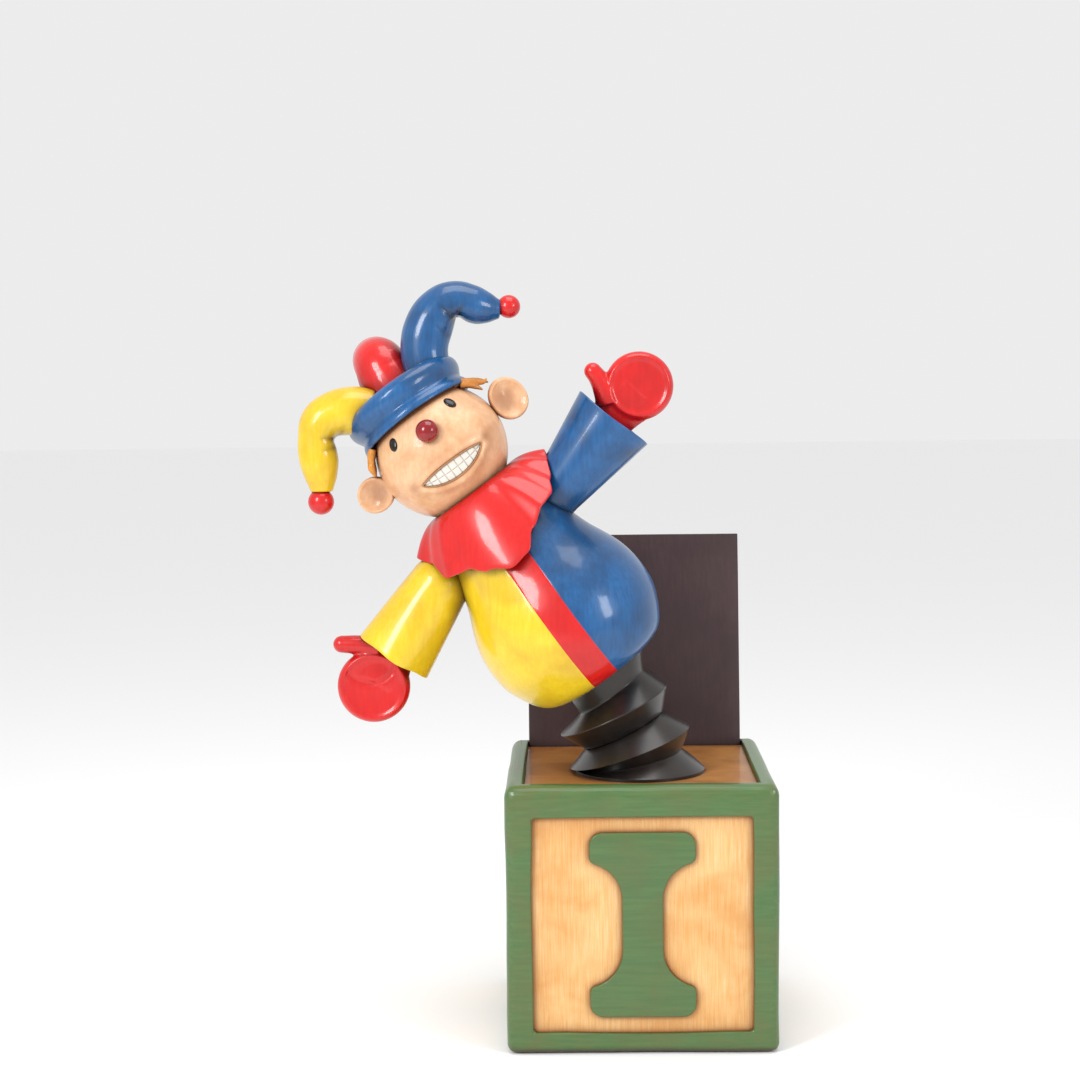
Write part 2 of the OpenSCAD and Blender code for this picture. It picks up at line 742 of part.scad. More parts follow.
module teeth() color("#e9e6df") head_frame() mouth_prism(0, 3, 0);

module lip_ring() color("#b97a55") head_frame() difference() {
    mouth_prism(6, 0, 3);
    rotate([90, 0, 0]) linear_extrude(head_r + 30) mouth_outline(0);
}

eye_azimuth = 36.7;
eye_elevation = 29.8;
eye_half_w = 10;
eye_half_h = 14;

module eye_prisms(depth, height) for (s = [-1, 1]) intersection() {
    rotate([0, 0, s * eye_azimuth]) rotate([-eye_elevation, 0, 0]) rotate([90, 0, 0])
        linear_extrude(head_r + 20) {
            for (e = [-1, 1]) translate([0, e * (eye_half_h - eye_half_w)]) circle(eye_half_w);
            square([2 * eye_half_w, 2 * (eye_half_h - eye_half_w)], center = true);
        }
    face_band(-depth, height);
}

module eyes() color("#151312") head_frame() eye_prisms(1.5, 2.5);

nose_elevation = 19.7;

module nose() color("#8e1518") head_frame() rotate([90 - nose_elevation, 0, 0]) rotate_extrude()
    intersection() {
        difference() {
            translate([0, head_r + nose_r * 0.4]) circle(nose_r);
            circle(head_r, $fn = 96);
        }
        square([head_r, 2 * head_r]);
    }

// Ear: a dish facing -Y with a round rim.
module ear(side) head_frame() difference() {
    rim = 8;
    translate([side * (head_r + 30), -12, head_r * 0.06]) rotate([90, 0, 0]) rotate_extrude() {
        translate([ear_r - rim, 0]) circle(rim);
        translate([0, -rim]) square([ear_r - rim, rim]);
    }
    sphere(head_r, $fn = 96);
}

module ear_left() color("#e8b48c") ear(-1);
module ear_right() color("#e8b48c") ear(1);

// Hair: short rounded locks in front of each ear, under the hat band.
lock_r = head_r * 0.05926;
lock_half = head_r * 0.1037;

module hair_tufts() color("#c9761f") head_frame() difference() {
    for (s = [-1, 1], k = [0 : 2])
        rotate([0, 0, s * (72 - 9 * k)]) rotate([-28 + 6 * k, 0, 0])
            translate([0, -head_r - 3, 0]) rotate([0, s * 20, 0]) {
                translate([0, 0, -lock_half]) cylinder(h = 2 * lock_half, r = lock_r);
                for (e = [-1, 1]) translate([0, 0, lock_half * e]) sphere(lock_r);
            }
    sphere(head_r, $fn = 96);
    rotate([-hat_tilt, 0, 0]) translate([0, 0, band_z - 40]) cylinder(h = 120, r = band_r + 5);
}

// ---- hat ----

band_z = head_r * 0.85;
band_r = head_r - band_inset;

module band_outline() difference() {
    union() {
        translate([band_r - 21, band_z - 22]) circle(16);
        translate([band_r - 21, band_z + 10]) circle(21);
        translate([band_r - 40, band_z - 30]) square([32, 48]);
    }
    circle(head_r, $fn = 96);
}

module hat_band() color("#1f5aa6") hat_frame() rotate_extrude($fn = 96) band_outline();

// Shallow dome that closes the band.
module hat_crown() color("#c31e22") hat_frame() rotate_extrude($fn = 96) difference() {
    dome_half = band_r - 30;
    dome_r = band_r * 1.28;
    dome_z = band_z + 7 - sqrt(pow(dome_r, 2) - pow(dome_half, 2));
    intersection() {
        translate([0, dome_z]) circle(dome_r, $fn = 96);
        translate([0, band_z + 8]) square([dome_half, 60]);
    }
    translate([0, dome_z]) circle(dome_r - horn_wall - 1, $fn = 96);
    band_outline();
}

function horn_radius(t, tip) = horn_r * (1 - (1 - tip) * pow(max(0, t - 0.4) / 0.6, 1.6));

function horn_rings(curve, tip, inset, n) = [for (i = [0 : n])
    let (t = i / n, d = bez(curve, min(1, t + 0.01)) - bez(curve, max(0, t - 0.01)))
    ring_xz(bez(curve, t), d, horn_radius(t, tip) - inset, 32)];

module horn(curve, tip, turn) head_frame() rotate([0, 0, turn]) {
    n = 14;
    outer = horn_rings(curve, tip, 0, n);
    inner = horn_rings(curve, tip, horn_wall, n);
    loft([for (i = [0 : n]) outer[i], for (i = [n : -1 : 0]) inner[i]], true);
}

module horn_right() color("#1f5aa6") horn(right_horn_curve, right_horn_tip, right_horn_turn);
module horn_left() color("#e6c81e") horn(left_horn_curve, left_horn_tip, left_horn_turn);
module horn_rear() color("#c31e22") horn(rear_horn_curve, rear_horn_tip, rear_horn_turn);

module bobble(curve, turn) head_frame() rotate([0, 0, turn]) {
    d = curve[3] - curve[2];
    c = curve[3] + d / norm(d) * bobble_r * 0.6;
    translate([c[0], 0, c[1]]) sphere(bobble_r);
}

module bobbles() color("#c31e22") {
    bobble(right_horn_curve, right_horn_turn);
    bobble(left_horn_curve, left_horn_turn);
    bobble(rear_horn_curve, rear_horn_turn);
}

corner_post(-1, -1);  // corner_post_front_left
corner_post(1, -1);  // corner_post_front_right
corner_post(-1, 1);  // corner_post_rear_left
corner_post(1, 1);  // corner_post_rear_right
top_rail(half_w, 0);  // top_rail_front
top_rail(half_w, 2);  // top_rail_rear
top_rail(deck_half, 3);  // top_rail_left
top_rail(deck_half, 1);  // top_rail_right
bottom_rail(half_w, panel_half, 0);  // bottom_rail_front
bottom_rail(half_w, panel_half, 2);  // bottom_rail_rear
bottom_rail(panel_half, panel_half, 3);  // bottom_rail_left
bottom_rail(panel_half, panel_half, 1);  // bottom_rail_right
panel(0);  // panel_front
panel(2);  // panel_rear
panel(3);  // panel_left
panel(1);  // panel_right
plate(0);  // plate_front
plate(2);  // plate_rear
plate(3);  // plate_left
plate(1);  // plate_right
deck_panel();
base_panel();
ballast_block();
support_tube();
pivot_bracket();
bracket_bolts();
bellows_lower();
bellows_upper();
lid_panel();
lid_rod();
pivot_pin();
guide_post();
coil_spring();
guide_sleeve();
waist_plate();
neck_spigot();
torso_left();
torso_right();
torso_stripe();
collar();
shoulder_peg_left();
shoulder_peg_right();
head_shell();
ear_left();
ear_right();
nose();
eyes();
teeth();
lip_ring();
hair_tufts();
hat_band();
hat_crown();
horn_left();
horn_right();
horn_rear();
bobbles();
sleeve_left();
sleeve_right();
glove_left();
glove_right();
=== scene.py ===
import json
import math
import bpy
from mathutils import Matrix, Vector, noise


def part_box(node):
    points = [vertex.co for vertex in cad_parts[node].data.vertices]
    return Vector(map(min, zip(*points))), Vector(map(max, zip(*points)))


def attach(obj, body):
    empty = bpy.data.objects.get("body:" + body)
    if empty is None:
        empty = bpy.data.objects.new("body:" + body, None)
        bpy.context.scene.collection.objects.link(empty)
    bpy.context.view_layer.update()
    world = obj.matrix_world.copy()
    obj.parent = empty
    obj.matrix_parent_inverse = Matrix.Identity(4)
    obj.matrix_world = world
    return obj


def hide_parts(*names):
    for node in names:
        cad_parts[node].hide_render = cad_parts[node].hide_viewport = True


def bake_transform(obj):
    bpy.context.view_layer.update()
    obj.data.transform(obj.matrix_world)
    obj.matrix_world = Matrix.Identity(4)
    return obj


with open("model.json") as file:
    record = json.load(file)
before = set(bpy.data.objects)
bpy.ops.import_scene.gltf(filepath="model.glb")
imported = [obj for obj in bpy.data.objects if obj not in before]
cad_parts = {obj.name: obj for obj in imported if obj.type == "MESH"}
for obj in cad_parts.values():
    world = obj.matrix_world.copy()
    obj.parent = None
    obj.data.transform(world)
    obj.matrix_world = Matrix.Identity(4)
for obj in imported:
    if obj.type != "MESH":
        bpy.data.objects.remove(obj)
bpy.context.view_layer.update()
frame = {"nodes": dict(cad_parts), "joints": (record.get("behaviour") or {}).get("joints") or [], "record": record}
joints = {joint["name"]: joint for joint in frame["joints"]}
print("frame loaded:", len(frame["nodes"]), "nodes")


def frameAt(origin, xAxis, zAxis):
    x = Vector(xAxis).normalized()
    z = Vector(zAxis).normalized()
    y = z.cross(x)
    return Matrix.Translation(Vector(origin)) @ Matrix((x, y, z)).transposed().to_4x4()


def shift(x, y, z):
    # a move in mm
    return Matrix.Translation((x / 1000, y / 1000, z / 1000))


def rotation(degrees, axis):
    return Matrix.Rotation(math.radians(degrees), 4, axis)


pivot = Vector(joints["sway"]["pos_m"])
figureUp = Vector(joints["bounce"]["axis"])
figureAcross = Vector((figureUp.z, 0, -figureUp.x))
leanAngle = math.atan2(-figureUp.x, figureUp.z)
figureFrame = frameAt(pivot, figureAcross, figureUp)
headCentre = Vector(joints["head_turn"]["pos_m"])
faceTurnDegrees = 4.5
hatTipDegrees = -10
headFrame = frameAt(headCentre, figureAcross, figureUp) @ rotation(faceTurnDegrees, "Z")
hatFrame = headFrame @ rotation(hatTipDegrees, "X")
rightArmAxis = Vector(joints["right_shoulder"]["axis"])
leftArmAxis = Vector(joints["left_shoulder"]["axis"])
rightArmFrame = frameAt(joints["right_shoulder"]["pos_m"], rightArmAxis,
                        (-rightArmAxis.z, 0, rightArmAxis.x))
leftArmFrame = frameAt(joints["left_shoulder"]["pos_m"], leftArmAxis, (leftArmAxis.z, 0, -leftArmAxis.x))
upright = Matrix.Identity(4)


def deselect():
    if bpy.context.object and bpy.context.object.mode != "OBJECT":
        bpy.ops.object.mode_set(mode="OBJECT")
    bpy.ops.object.select_all(action="DESELECT")


def pick(piece):
    deselect()
    piece.select_set(True)
    bpy.context.view_layer.objects.active = piece


def named(name):
    # names the piece that an operator has just made
    bpy.context.object.name = name
    return bpy.context.object


def editAll(piece):
    pick(piece)
    bpy.ops.object.mode_set(mode="EDIT")
    bpy.ops.mesh.select_all(action="SELECT")


def tidyMesh(piece, gap=0.05):
    editAll(piece)
    bpy.ops.mesh.remove_doubles(threshold=gap / 1000)
    bpy.ops.mesh.normals_make_consistent(inside=False)
    bpy.ops.object.mode_set(mode="OBJECT")


def addModifier(piece, kind, **settings):
    modifier = piece.modifiers.new(kind.lower(), kind)
    for key, value in settings.items():
        setattr(modifier, key, value)
    pick(piece)
    bpy.ops.object.modifier_apply(modifier=modifier.name)
    return piece


def bevel(piece, widthMm, segments, degrees):
    return addModifier(piece, "BEVEL", width=widthMm / 1000, segments=segments, limit_method="ANGLE",
                       angle_limit=math.radians(degrees))


def thicken(piece, wallMm):
    return addModifier(piece, "SOLIDIFY", thickness=wallMm / 1000, offset=-1)


def remesh(piece, voxelMm):
    return addModifier(piece, "REMESH", mode="VOXEL", voxel_size=voxelMm / 1000, use_smooth_shade=True)


def relax(piece, iterations, factor=0.5):
    return addModifier(piece, "SMOOTH", iterations=iterations, factor=factor)


def smooth(piece, angle=35):
    pick(piece)
    bpy.ops.object.shade_smooth_by_angle(angle=math.radians(angle))
    return piece


def settle(piece, place):
    # the place goes into the mesh, so the object itself sits at the origin
    pick(piece)
    piece.matrix_world = place @ piece.matrix_world
    bpy.ops.object.transform_apply(location=True, rotation=True, scale=True)
    return piece


def copyOf(piece, name):
    twin = piece.copy()
    twin.data = piece.data.copy()
    twin.name = name
    bpy.context.scene.collection.objects.link(twin)
    return twin


def join(name, pieces):
    deselect()
    for piece in pieces:
        piece.select_set(True)
    bpy.context.view_layer.objects.active = pieces[0]
    bpy.ops.object.join()
    pieces[0].name = name
    return pieces[0]


def block(name, size, middle):
    deselect()
    bpy.ops.mesh.primitive_cube_add(size=1, location=middle, scale=size)
    bpy.ops.object.transform_apply(location=True, rotation=True, scale=True)
    return named(name)


def sphere(name, radiusMm, segments, rings):
    deselect()
    bpy.ops.mesh.primitive_uv_sphere_add(radius=radiusMm / 1000, segments=segments, ring_count=rings)
    return named(name)


def bezier(name, count, fineness, closed=False, thickMm=0, roundness=4):
    # a curve with count points, thickened to a rod where thickMm is given, and its spline
    deselect()
    bpy.ops.curve.primitive_bezier_curve_add()
    curve = named(name)
    curve.data.bevel_depth = thickMm / 1000
    curve.data.bevel_resolution = roundness
    spline = curve.data.splines[0]
    spline.bezier_points.add(count - 2)
    spline.use_cyclic_u = closed
    spline.resolution_u = fineness
    return curve, spline


def setKnot(point, place, kind="AUTO"):
    point.handle_left_type = point.handle_right_type = kind
    point.co = [value / 1000 for value in place]


def meshOf():
    bpy.ops.object.convert(target="MESH")
    return bpy.context.object


def outline(name, knots, closed=False, fineness=8):
    # knots are (across, up) in mm on the XZ plane, with "sharp" added for a corner
    _, spline = bezier(name, len(knots), fineness, closed)
    for point, knot in zip(spline.bezier_points, knots):
        setKnot(point, (knot[0], 0, knot[1]), "VECTOR" if "sharp" in knot else "AUTO")
    return meshOf()


def spun(piece, steps):
    editAll(piece)
    bpy.ops.mesh.spin(steps=steps, angle=math.tau, center=(0, 0, 0), axis=(0, 0, 1))
    tidyMesh(piece)
    return piece


def turned(name, knots, place, steps=96, fineness=8, angle=35):
    piece = spun(outline(name, knots, fineness=fineness), steps)
    settle(piece, place)
    return smooth(piece, angle)


def tapered(name, points, place, sides=24, fineness=12):
    # points are (x, y, z, radius) in mm along a limb
    curve, spline = bezier(name, len(points), fineness, thickMm=1, roundness=sides // 4)
    curve.data.use_fill_caps = True
    spline.radius_interpolation = "CARDINAL"
    for point, spot in zip(spline.bezier_points, points):
        setKnot(point, spot[:3])
        point.radius = spot[3]
    piece = meshOf()
    tidyMesh(piece)
    settle(piece, place)
    return smooth(piece)


def moveVertices(piece, place, move):
    # sculpts a piece in a local frame, in mm: move(point) returns the new point
    back = place.inverted()
    for vertex in piece.data.vertices:
        local = back @ vertex.co * 1000
        vertex.co = place @ (Vector(move(local)) / 1000)
    piece.data.update()


def paintShadeMarks(piece, place, depth):
    # marks painted shade in creases, standing also for the dark glaze that stays there, from 0 to 1: depth(point)
    # is given local mm
    back = place.inverted()
    grooves = piece.data.attributes.new("groove", "FLOAT", "POINT")
    for vertex in piece.data.vertices:
        grooves.data[vertex.index].value = min(max(depth(back @ vertex.co * 1000), 0), 1)


def handWave(piece, height, sizes, settleBy=0.0):
    # the slight unevenness of something moulded and sanded by hand; sizes are in waves per metre
    normals = [vertex.normal.copy() for vertex in piece.data.vertices]
    for vertex, normal in zip(piece.data.vertices, normals):
        pull = sum(noise.noise(vertex.co * size) / (i + 1) for i, size in enumerate(sizes)) - settleBy
        vertex.co += normal * pull * height / 1000
    piece.data.update()


def coat(piece, slot):
    piece.data.materials.clear()
    piece.data.materials.append(materials[slot])


def finishPiece(piece, body, slot, replaced=()):
    coat(piece, slot)
    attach(piece, body)
    if replaced:
        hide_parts(*replaced)
    return piece


def linear(hexColour):
    channels = [int(hexColour[i:i + 2], 16) / 255 for i in (1, 3, 5)]
    return [c / 12.92 if c <= 0.04045 else ((c + 0.055) / 1.055) ** 2.4 for c in channels] + [1]


def add(tree, kind, settings=None, links=None):
    node = tree.nodes.new(kind)
    for key, value in (settings or {}).items():
        if isinstance(key, int) or key in node.inputs:
            node.inputs[key].default_value = value
        else:
            setattr(node, key, value)
    for key, source in (links or {}).items():
        tree.links.new(source, node.inputs[key])
    return node


def emptyMaterial(name):
    material = bpy.data.materials.new(name)
    material.use_nodes = True
    material.node_tree.nodes.clear()
    return material, material.node_tree


def noiseAt(tree, place, sizeMm, **settings):
    node = add(tree, "ShaderNodeTexNoise", dict(settings, Scale=1000 / sizeMm), {"Vector": place})
    return node.outputs["Fac"]


def mask(tree, source, start, end, amount, ends=(0, 1)):
    # turns source from one grey to the other between start and end, times amount
    ramp = add(tree, "ShaderNodeValToRGB", None, {"Fac": source})
    for element, place, grey in zip(ramp.color_ramp.elements, (start, end), ends):
        element.position = place
        element.color = (grey, grey, grey, 1)
    weaker = add(tree, "ShaderNodeMath", {"operation": "MULTIPLY", 1: amount}, {0: ramp.outputs["Color"]})
    return weaker.outputs[0]


def mix(tree, share, under, over):
    # under is a hex colour or the socket of one
    settings = {"data_type": "RGBA", 7: linear(over)}
    links = {0: share}
    if isinstance(under, str):
        settings[6] = linear(under)
    else:
        links[6] = under
    return add(tree, "ShaderNodeMix", settings, links).outputs[2]


def surface(tree, colour, grain, look, bump, reliefMm, settings):
    # the shader and its output; the grain sets both the roughness and the bump
    low, high = look["roughness"]
    rough = add(tree, "ShaderNodeMapRange", {"To Min": low, "To Max": high}, {"Value": grain})
    relief = add(tree, "ShaderNodeBump", {"Strength": bump, "Distance": reliefMm / 1000}, {"Height": grain})
    shader = add(tree, "ShaderNodeBsdfPrincipled", settings,
                 {"Base Color": colour, "Roughness": rough.outputs[0], "Normal": relief.outputs[0]})
    add(tree, "ShaderNodeOutputMaterial", None, {"Surface": shader.outputs[0]})


def paint(name, look):
    # Hand-painted resin or board: a base coat, brushed streaks of a second tone, cloudy patches, painted shade
    # that occlusion lays into the hollows and between parts, standing also for the dark glaze there, and a varnish
    # over the top.
    material, tree = emptyMaterial(name)
    place = add(tree, "ShaderNodeTexCoord").outputs["Object"]
    lengthMm, widthMm = look["strokeMm"]
    stretch = [widthMm / lengthMm if axis == look["strokeAxis"] else 1 for axis in "xyz"]
    brush = add(tree, "ShaderNodeMapping", {"Rotation": (0, look.get("turn", 0), 0), "Scale": stretch},
                {"Vector": place})
    streak = noiseAt(tree, brush.outputs[0], widthMm, Detail=4, Roughness=0.6)
    cloud = noiseAt(tree, place, look["cloudMm"], Detail=3, Roughness=0.55, Distortion=0.4)
    brushed = mix(tree, mask(tree, streak, 0.38, 0.66, look["streaks"]), look["base"], look["streak"])
    patched = mix(tree, mask(tree, cloud, 0.4, 0.68, look["clouds"]), brushed, look["cloud"])
    # painted shade: the more the occlusion, the more of the look's dark shade colour is mixed in
    occlusionShade = add(tree, "ShaderNodeAmbientOcclusion", {"samples": 6, "Distance": look["shadeReachMm"] / 1000})
    shadeAndGlaze = mask(tree, occlusionShade.outputs["AO"], look.get("shadeFrom", 0.35), look.get("shadeTo", 0.85),
                 look["shadeAmount"], (1, 0))
    # painted shade marked on the mesh in creases, used wherever it is darker than the occlusion shade
    if "grooves" in look:
        grooves = add(tree, "ShaderNodeAttribute", {"attribute_name": look["grooves"]})
        shadeAndGlaze = add(tree, "ShaderNodeMath", {"operation": "MAXIMUM"},
                    {0: shadeAndGlaze, 1: grooves.outputs["Fac"]}).outputs[0]
    surface(tree, mix(tree, shadeAndGlaze, patched, look["shadeAndGlaze"]), streak, look, look["bump"], 0.3,
            {"IOR": 1.5, "Specular IOR Level": 0.35, "Coat Weight": look["varnish"],
             "Coat Roughness": look.get("varnishRoughness", 0.1)})
    return material


def metal(name, look):
    # Plain metal: fine drawn or turned marks over a slightly uneven tone.
    material, tree = emptyMaterial(name)
    place = add(tree, "ShaderNodeTexCoord").outputs["Object"]
    along = add(tree, "ShaderNodeMapping", {"Scale": (1, 1, 0.05)}, {"Vector": place})
    grain = noiseAt(tree, along.outputs[0], look["grainMm"], Detail=2)
    surface(tree, mix(tree, grain, look["dark"], look["light"]), grain, look, 0.15, 0.1, {"Metallic": 1})
    return material


# The darkest colour of each look is painted shade for hollows, creases and places between parts, standing also for
# the dark glaze wiped in there.
yellowLook = {"base": "#dfbc14", "streak": "#e6cc3a", "cloud": "#b9860c", "shadeAndGlaze": "#6a4a14",
              "strokeAxis": "z", "turn": leanAngle, "strokeMm": (60, 7), "streaks": 0.55, "cloudMm": 110,
              "clouds": 0.5, "shadeReachMm": 60, "shadeAmount": 0.85, "grooves": "groove", "roughness": (0.22, 0.42),
              "bump": 0.15, "varnish": 0.45}
blueLook = dict(yellowLook, base="#0f4e84", streak="#1d639c", cloud="#10355a", shadeAndGlaze="#08192a", clouds=0.75)
redLook = dict(yellowLook, base="#c80b0b", streak="#d61814", cloud="#a30808", shadeAndGlaze="#4c0606", clouds=0.45)
skinLook = dict(yellowLook, base="#d9a87e", streak="#e5bf9a", cloud="#b97c50", shadeAndGlaze="#7d4526", clouds=0.6,
                cloudMm=60, strokeMm=(30, 9), shadeReachMm=32, shadeAmount=0.9, roughness=(0.3, 0.5), varnish=0.3)
# The frame's darkest colour is the same painted shade, for its corners.
frameLook = {"base": "#456637", "streak": "#5a7844", "cloud": "#5f6034", "shadeAndGlaze": "#39260e",
             "strokeAxis": "x", "strokeMm": (70, 6), "streaks": 0.45, "cloudMm": 90, "clouds": 0.55,
             "shadeReachMm": 22, "shadeAmount": 0.9, "roughness": (0.3, 0.48), "bump": 0.25, "varnish": 0.3}

# The materials by the slot that each one fills.
materials = {}
# Two-part enamel paint over moulded resin, varnished: deep colour with sharp soft-box highlights, and painted
# shade in the hollows and between parts.
materials["yellow"] = paint("yellow_enamel_on_resin", yellowLook)
materials["blue"] = paint("blue_enamel_on_resin", blueLook)
materials["red"] = paint("red_enamel_on_resin", redLook)
# Peach enamel, duller than the clothes, with brown painted shade in its hollows and creases, standing also for the
# glaze wiped into them.
materials["skin"] = paint("peach_enamel_with_glaze_and_painted_shade", skinLook)
# Eggshell paint on board: brush marks run along the rails, and dark brown painted shade sits in the corners,
# standing also for the wax there.
materials["frame_green"] = paint("sage_eggshell_paint_on_board", frameLook)
# The same paint on the plates, brushed up and down, with the same painted shade at their edges.
materials["plate_green"] = paint("sage_eggshell_paint_on_plate", dict(
    frameLook, base="#466639", streak="#5a7442", cloud="#566034", strokeMm=(110, 7), streaks=0.5, turn=0.6))
# Cream paint rubbed with an orange stain in patches, and brown painted shade that pools against the plate and the
# frame, standing also for the stain there.
materials["panel_tan"] = paint("cream_paint_with_orange_stain_and_painted_shade", {
    "base": "#dca866", "streak": "#eecd9c", "cloud": "#c67f30", "shadeAndGlaze": "#84420f",
    "strokeAxis": "z", "strokeMm": (90, 3), "streaks": 0.65, "cloudMm": 120, "clouds": 0.55,
    "shadeReachMm": 44, "shadeAmount": 0.95, "shadeFrom": 0.45, "shadeTo": 1.0, "roughness": (0.42, 0.6), "bump": 0.4,
    "varnish": 0.15})
# Tan paint under a brown stain in patches, with painted shade darker along the frame and round the bellows.
materials["deck_tan"] = paint("tan_paint_with_brown_stain_and_painted_shade", {
    "base": "#ad7236", "streak": "#bf8748", "cloud": "#834a1c", "shadeAndGlaze": "#47220c",
    "strokeAxis": "x", "strokeMm": (110, 8), "streaks": 0.7, "cloudMm": 110, "clouds": 0.6,
    "shadeReachMm": 45, "shadeAmount": 0.9, "shadeFrom": 0.4, "shadeTo": 0.95, "roughness": (0.35, 0.55), "bump": 0.3,
    "varnish": 0.25})
# Satin aubergine paint rolled on a board, with near-black painted shade close to the frame.
materials["lid_brown"] = paint("aubergine_satin_paint_on_board", {
    "base": "#412d2f", "streak": "#4d383b", "cloud": "#352426", "shadeAndGlaze": "#1a1011",
    "strokeAxis": "z", "strokeMm": (120, 5), "streaks": 0.5, "cloudMm": 160, "clouds": 0.6,
    "shadeReachMm": 12, "shadeAmount": 0.7, "roughness": (0.4, 0.56), "bump": 0.2, "varnish": 0.12})
# Black satin paint on a moulded rubber skin, rubbed brownish on the folds, with near-black painted shade in the
# hollows between them.
materials["bellows_black"] = paint("black_satin_paint_on_moulded_rubber", {
    "base": "#161312", "streak": "#221e1c", "cloud": "#2c211a", "shadeAndGlaze": "#030202",
    "strokeAxis": "x", "strokeMm": (60, 6), "streaks": 0.6, "cloudMm": 80, "clouds": 0.6,
    "shadeReachMm": 30, "shadeAmount": 0.85, "roughness": (0.24, 0.42), "bump": 0.2, "varnish": 0.35,
    "varnishRoughness": 0.22})
# Gloss enamel for the small glued-on pieces, with painted shade where they meet the head.
materials["nose_red"] = paint("dark_red_gloss_enamel", dict(
    redLook, base="#8a0a10", streak="#9a141a", cloud="#5a080c", roughness=(0.12, 0.22),
    varnish=0.5, cloudMm=30))
materials["eye_black"] = paint("black_gloss_enamel", dict(
    redLook, base="#050404", streak="#0a0806", cloud="#040303", shadeAndGlaze="#030202",
    roughness=(0.22, 0.32), varnish=0.25, cloudMm=20))
# Off-white enamel with grey-brown painted shade in the lines between the teeth and along the rows' edges, standing
# also for the glaze wiped in there.
materials["tooth_white"] = paint("off_white_enamel", dict(
    redLook, base="#dad4ca", streak="#e2ddd4", cloud="#cdc4b4",
    shadeAndGlaze="#857f76", shadeReachMm=5, shadeAmount=0.6, cloudMm=30, roughness=(0.25, 0.4), varnish=0.4, streaks=0.3))
# The face's enamel with the glaze left on, along the lips, its brown also painted shade in the groove round the
# mouth.
materials["lip_brown"] = paint("brown_glazed_peach_enamel_and_painted_shade", dict(
    skinLook, base="#a87548", streak="#b88458", cloud="#8a5a34"))
# Orange-brown enamel brushed over the moulded locks, with painted shade between them and against the head.
materials["hair_orange"] = paint("orange_brown_enamel", dict(
    skinLook, base="#c8802c", streak="#d99c48", cloud="#a05a1c",
    shadeAndGlaze="#5a2c0e", strokeMm=(30, 3), roughness=(0.35, 0.5)))
# Bare birch ply for the base board, with painted shade in its corners.
materials["base_ply"] = paint("birch_plywood", dict(
    frameLook, base="#b98c56", streak="#a97a46", cloud="#c59c6a",
    shadeAndGlaze="#6b4e2c", strokeMm=(200, 3), roughness=(0.6, 0.8), varnish=0.0))
# Grey cast concrete, rough and unpainted, for the ballast block, with painted shade in its corners.
materials["ballast"] = paint("cast_concrete", dict(
    frameLook, base="#7d7c77", streak="#8a8982", cloud="#6b6a63",
    shadeAndGlaze="#45443f", strokeMm=(8, 4), roughness=(0.8, 0.95), varnish=0.0, bump=0.6))
# Plain metals of the parts inside: drawn steel, turned aluminium and oiled spring steel.
materials["steel"] = metal("drawn_mild_steel", {
    "light": "#a9acb0", "dark": "#8b8e93", "grainMm": 0.6, "roughness": (0.25, 0.42)})
materials["alloy"] = metal("turned_aluminium", {
    "light": "#c9cccf", "dark": "#aeb2b6", "grainMm": 0.5, "roughness": (0.25, 0.4)})
materials["spring_steel"] = metal("oiled_spring_steel", {
    "light": "#83868a", "dark": "#5f6266", "grainMm": 0.8, "roughness": (0.2, 0.35)})
for part in frame["record"]["subparts"]:
    coat(frame["nodes"][part["node"]], part["material_slot"])
print("materials made")

boxSize = {"outerBevelMm": 20, "rimShare": 0.24, "cornerShare": 0.45, "slotShare": 0.35, "wallDepthMm": 14,
           "handWaveMm": 2.6, "slotMarginMm": 11.6}


def rounded(point):
    return tuple(round(value, 4) for value in point)


def bevelWeights(piece):
    # one weight per edge for the bevel that follows, with the edge's two ends
    weights = piece.data.attributes.new("bevel_weight_edge", "FLOAT", "EDGE").data
    for edge in piece.data.edges:
        yield weights[edge.index], [piece.data.vertices[i].co for i in edge.vertices]


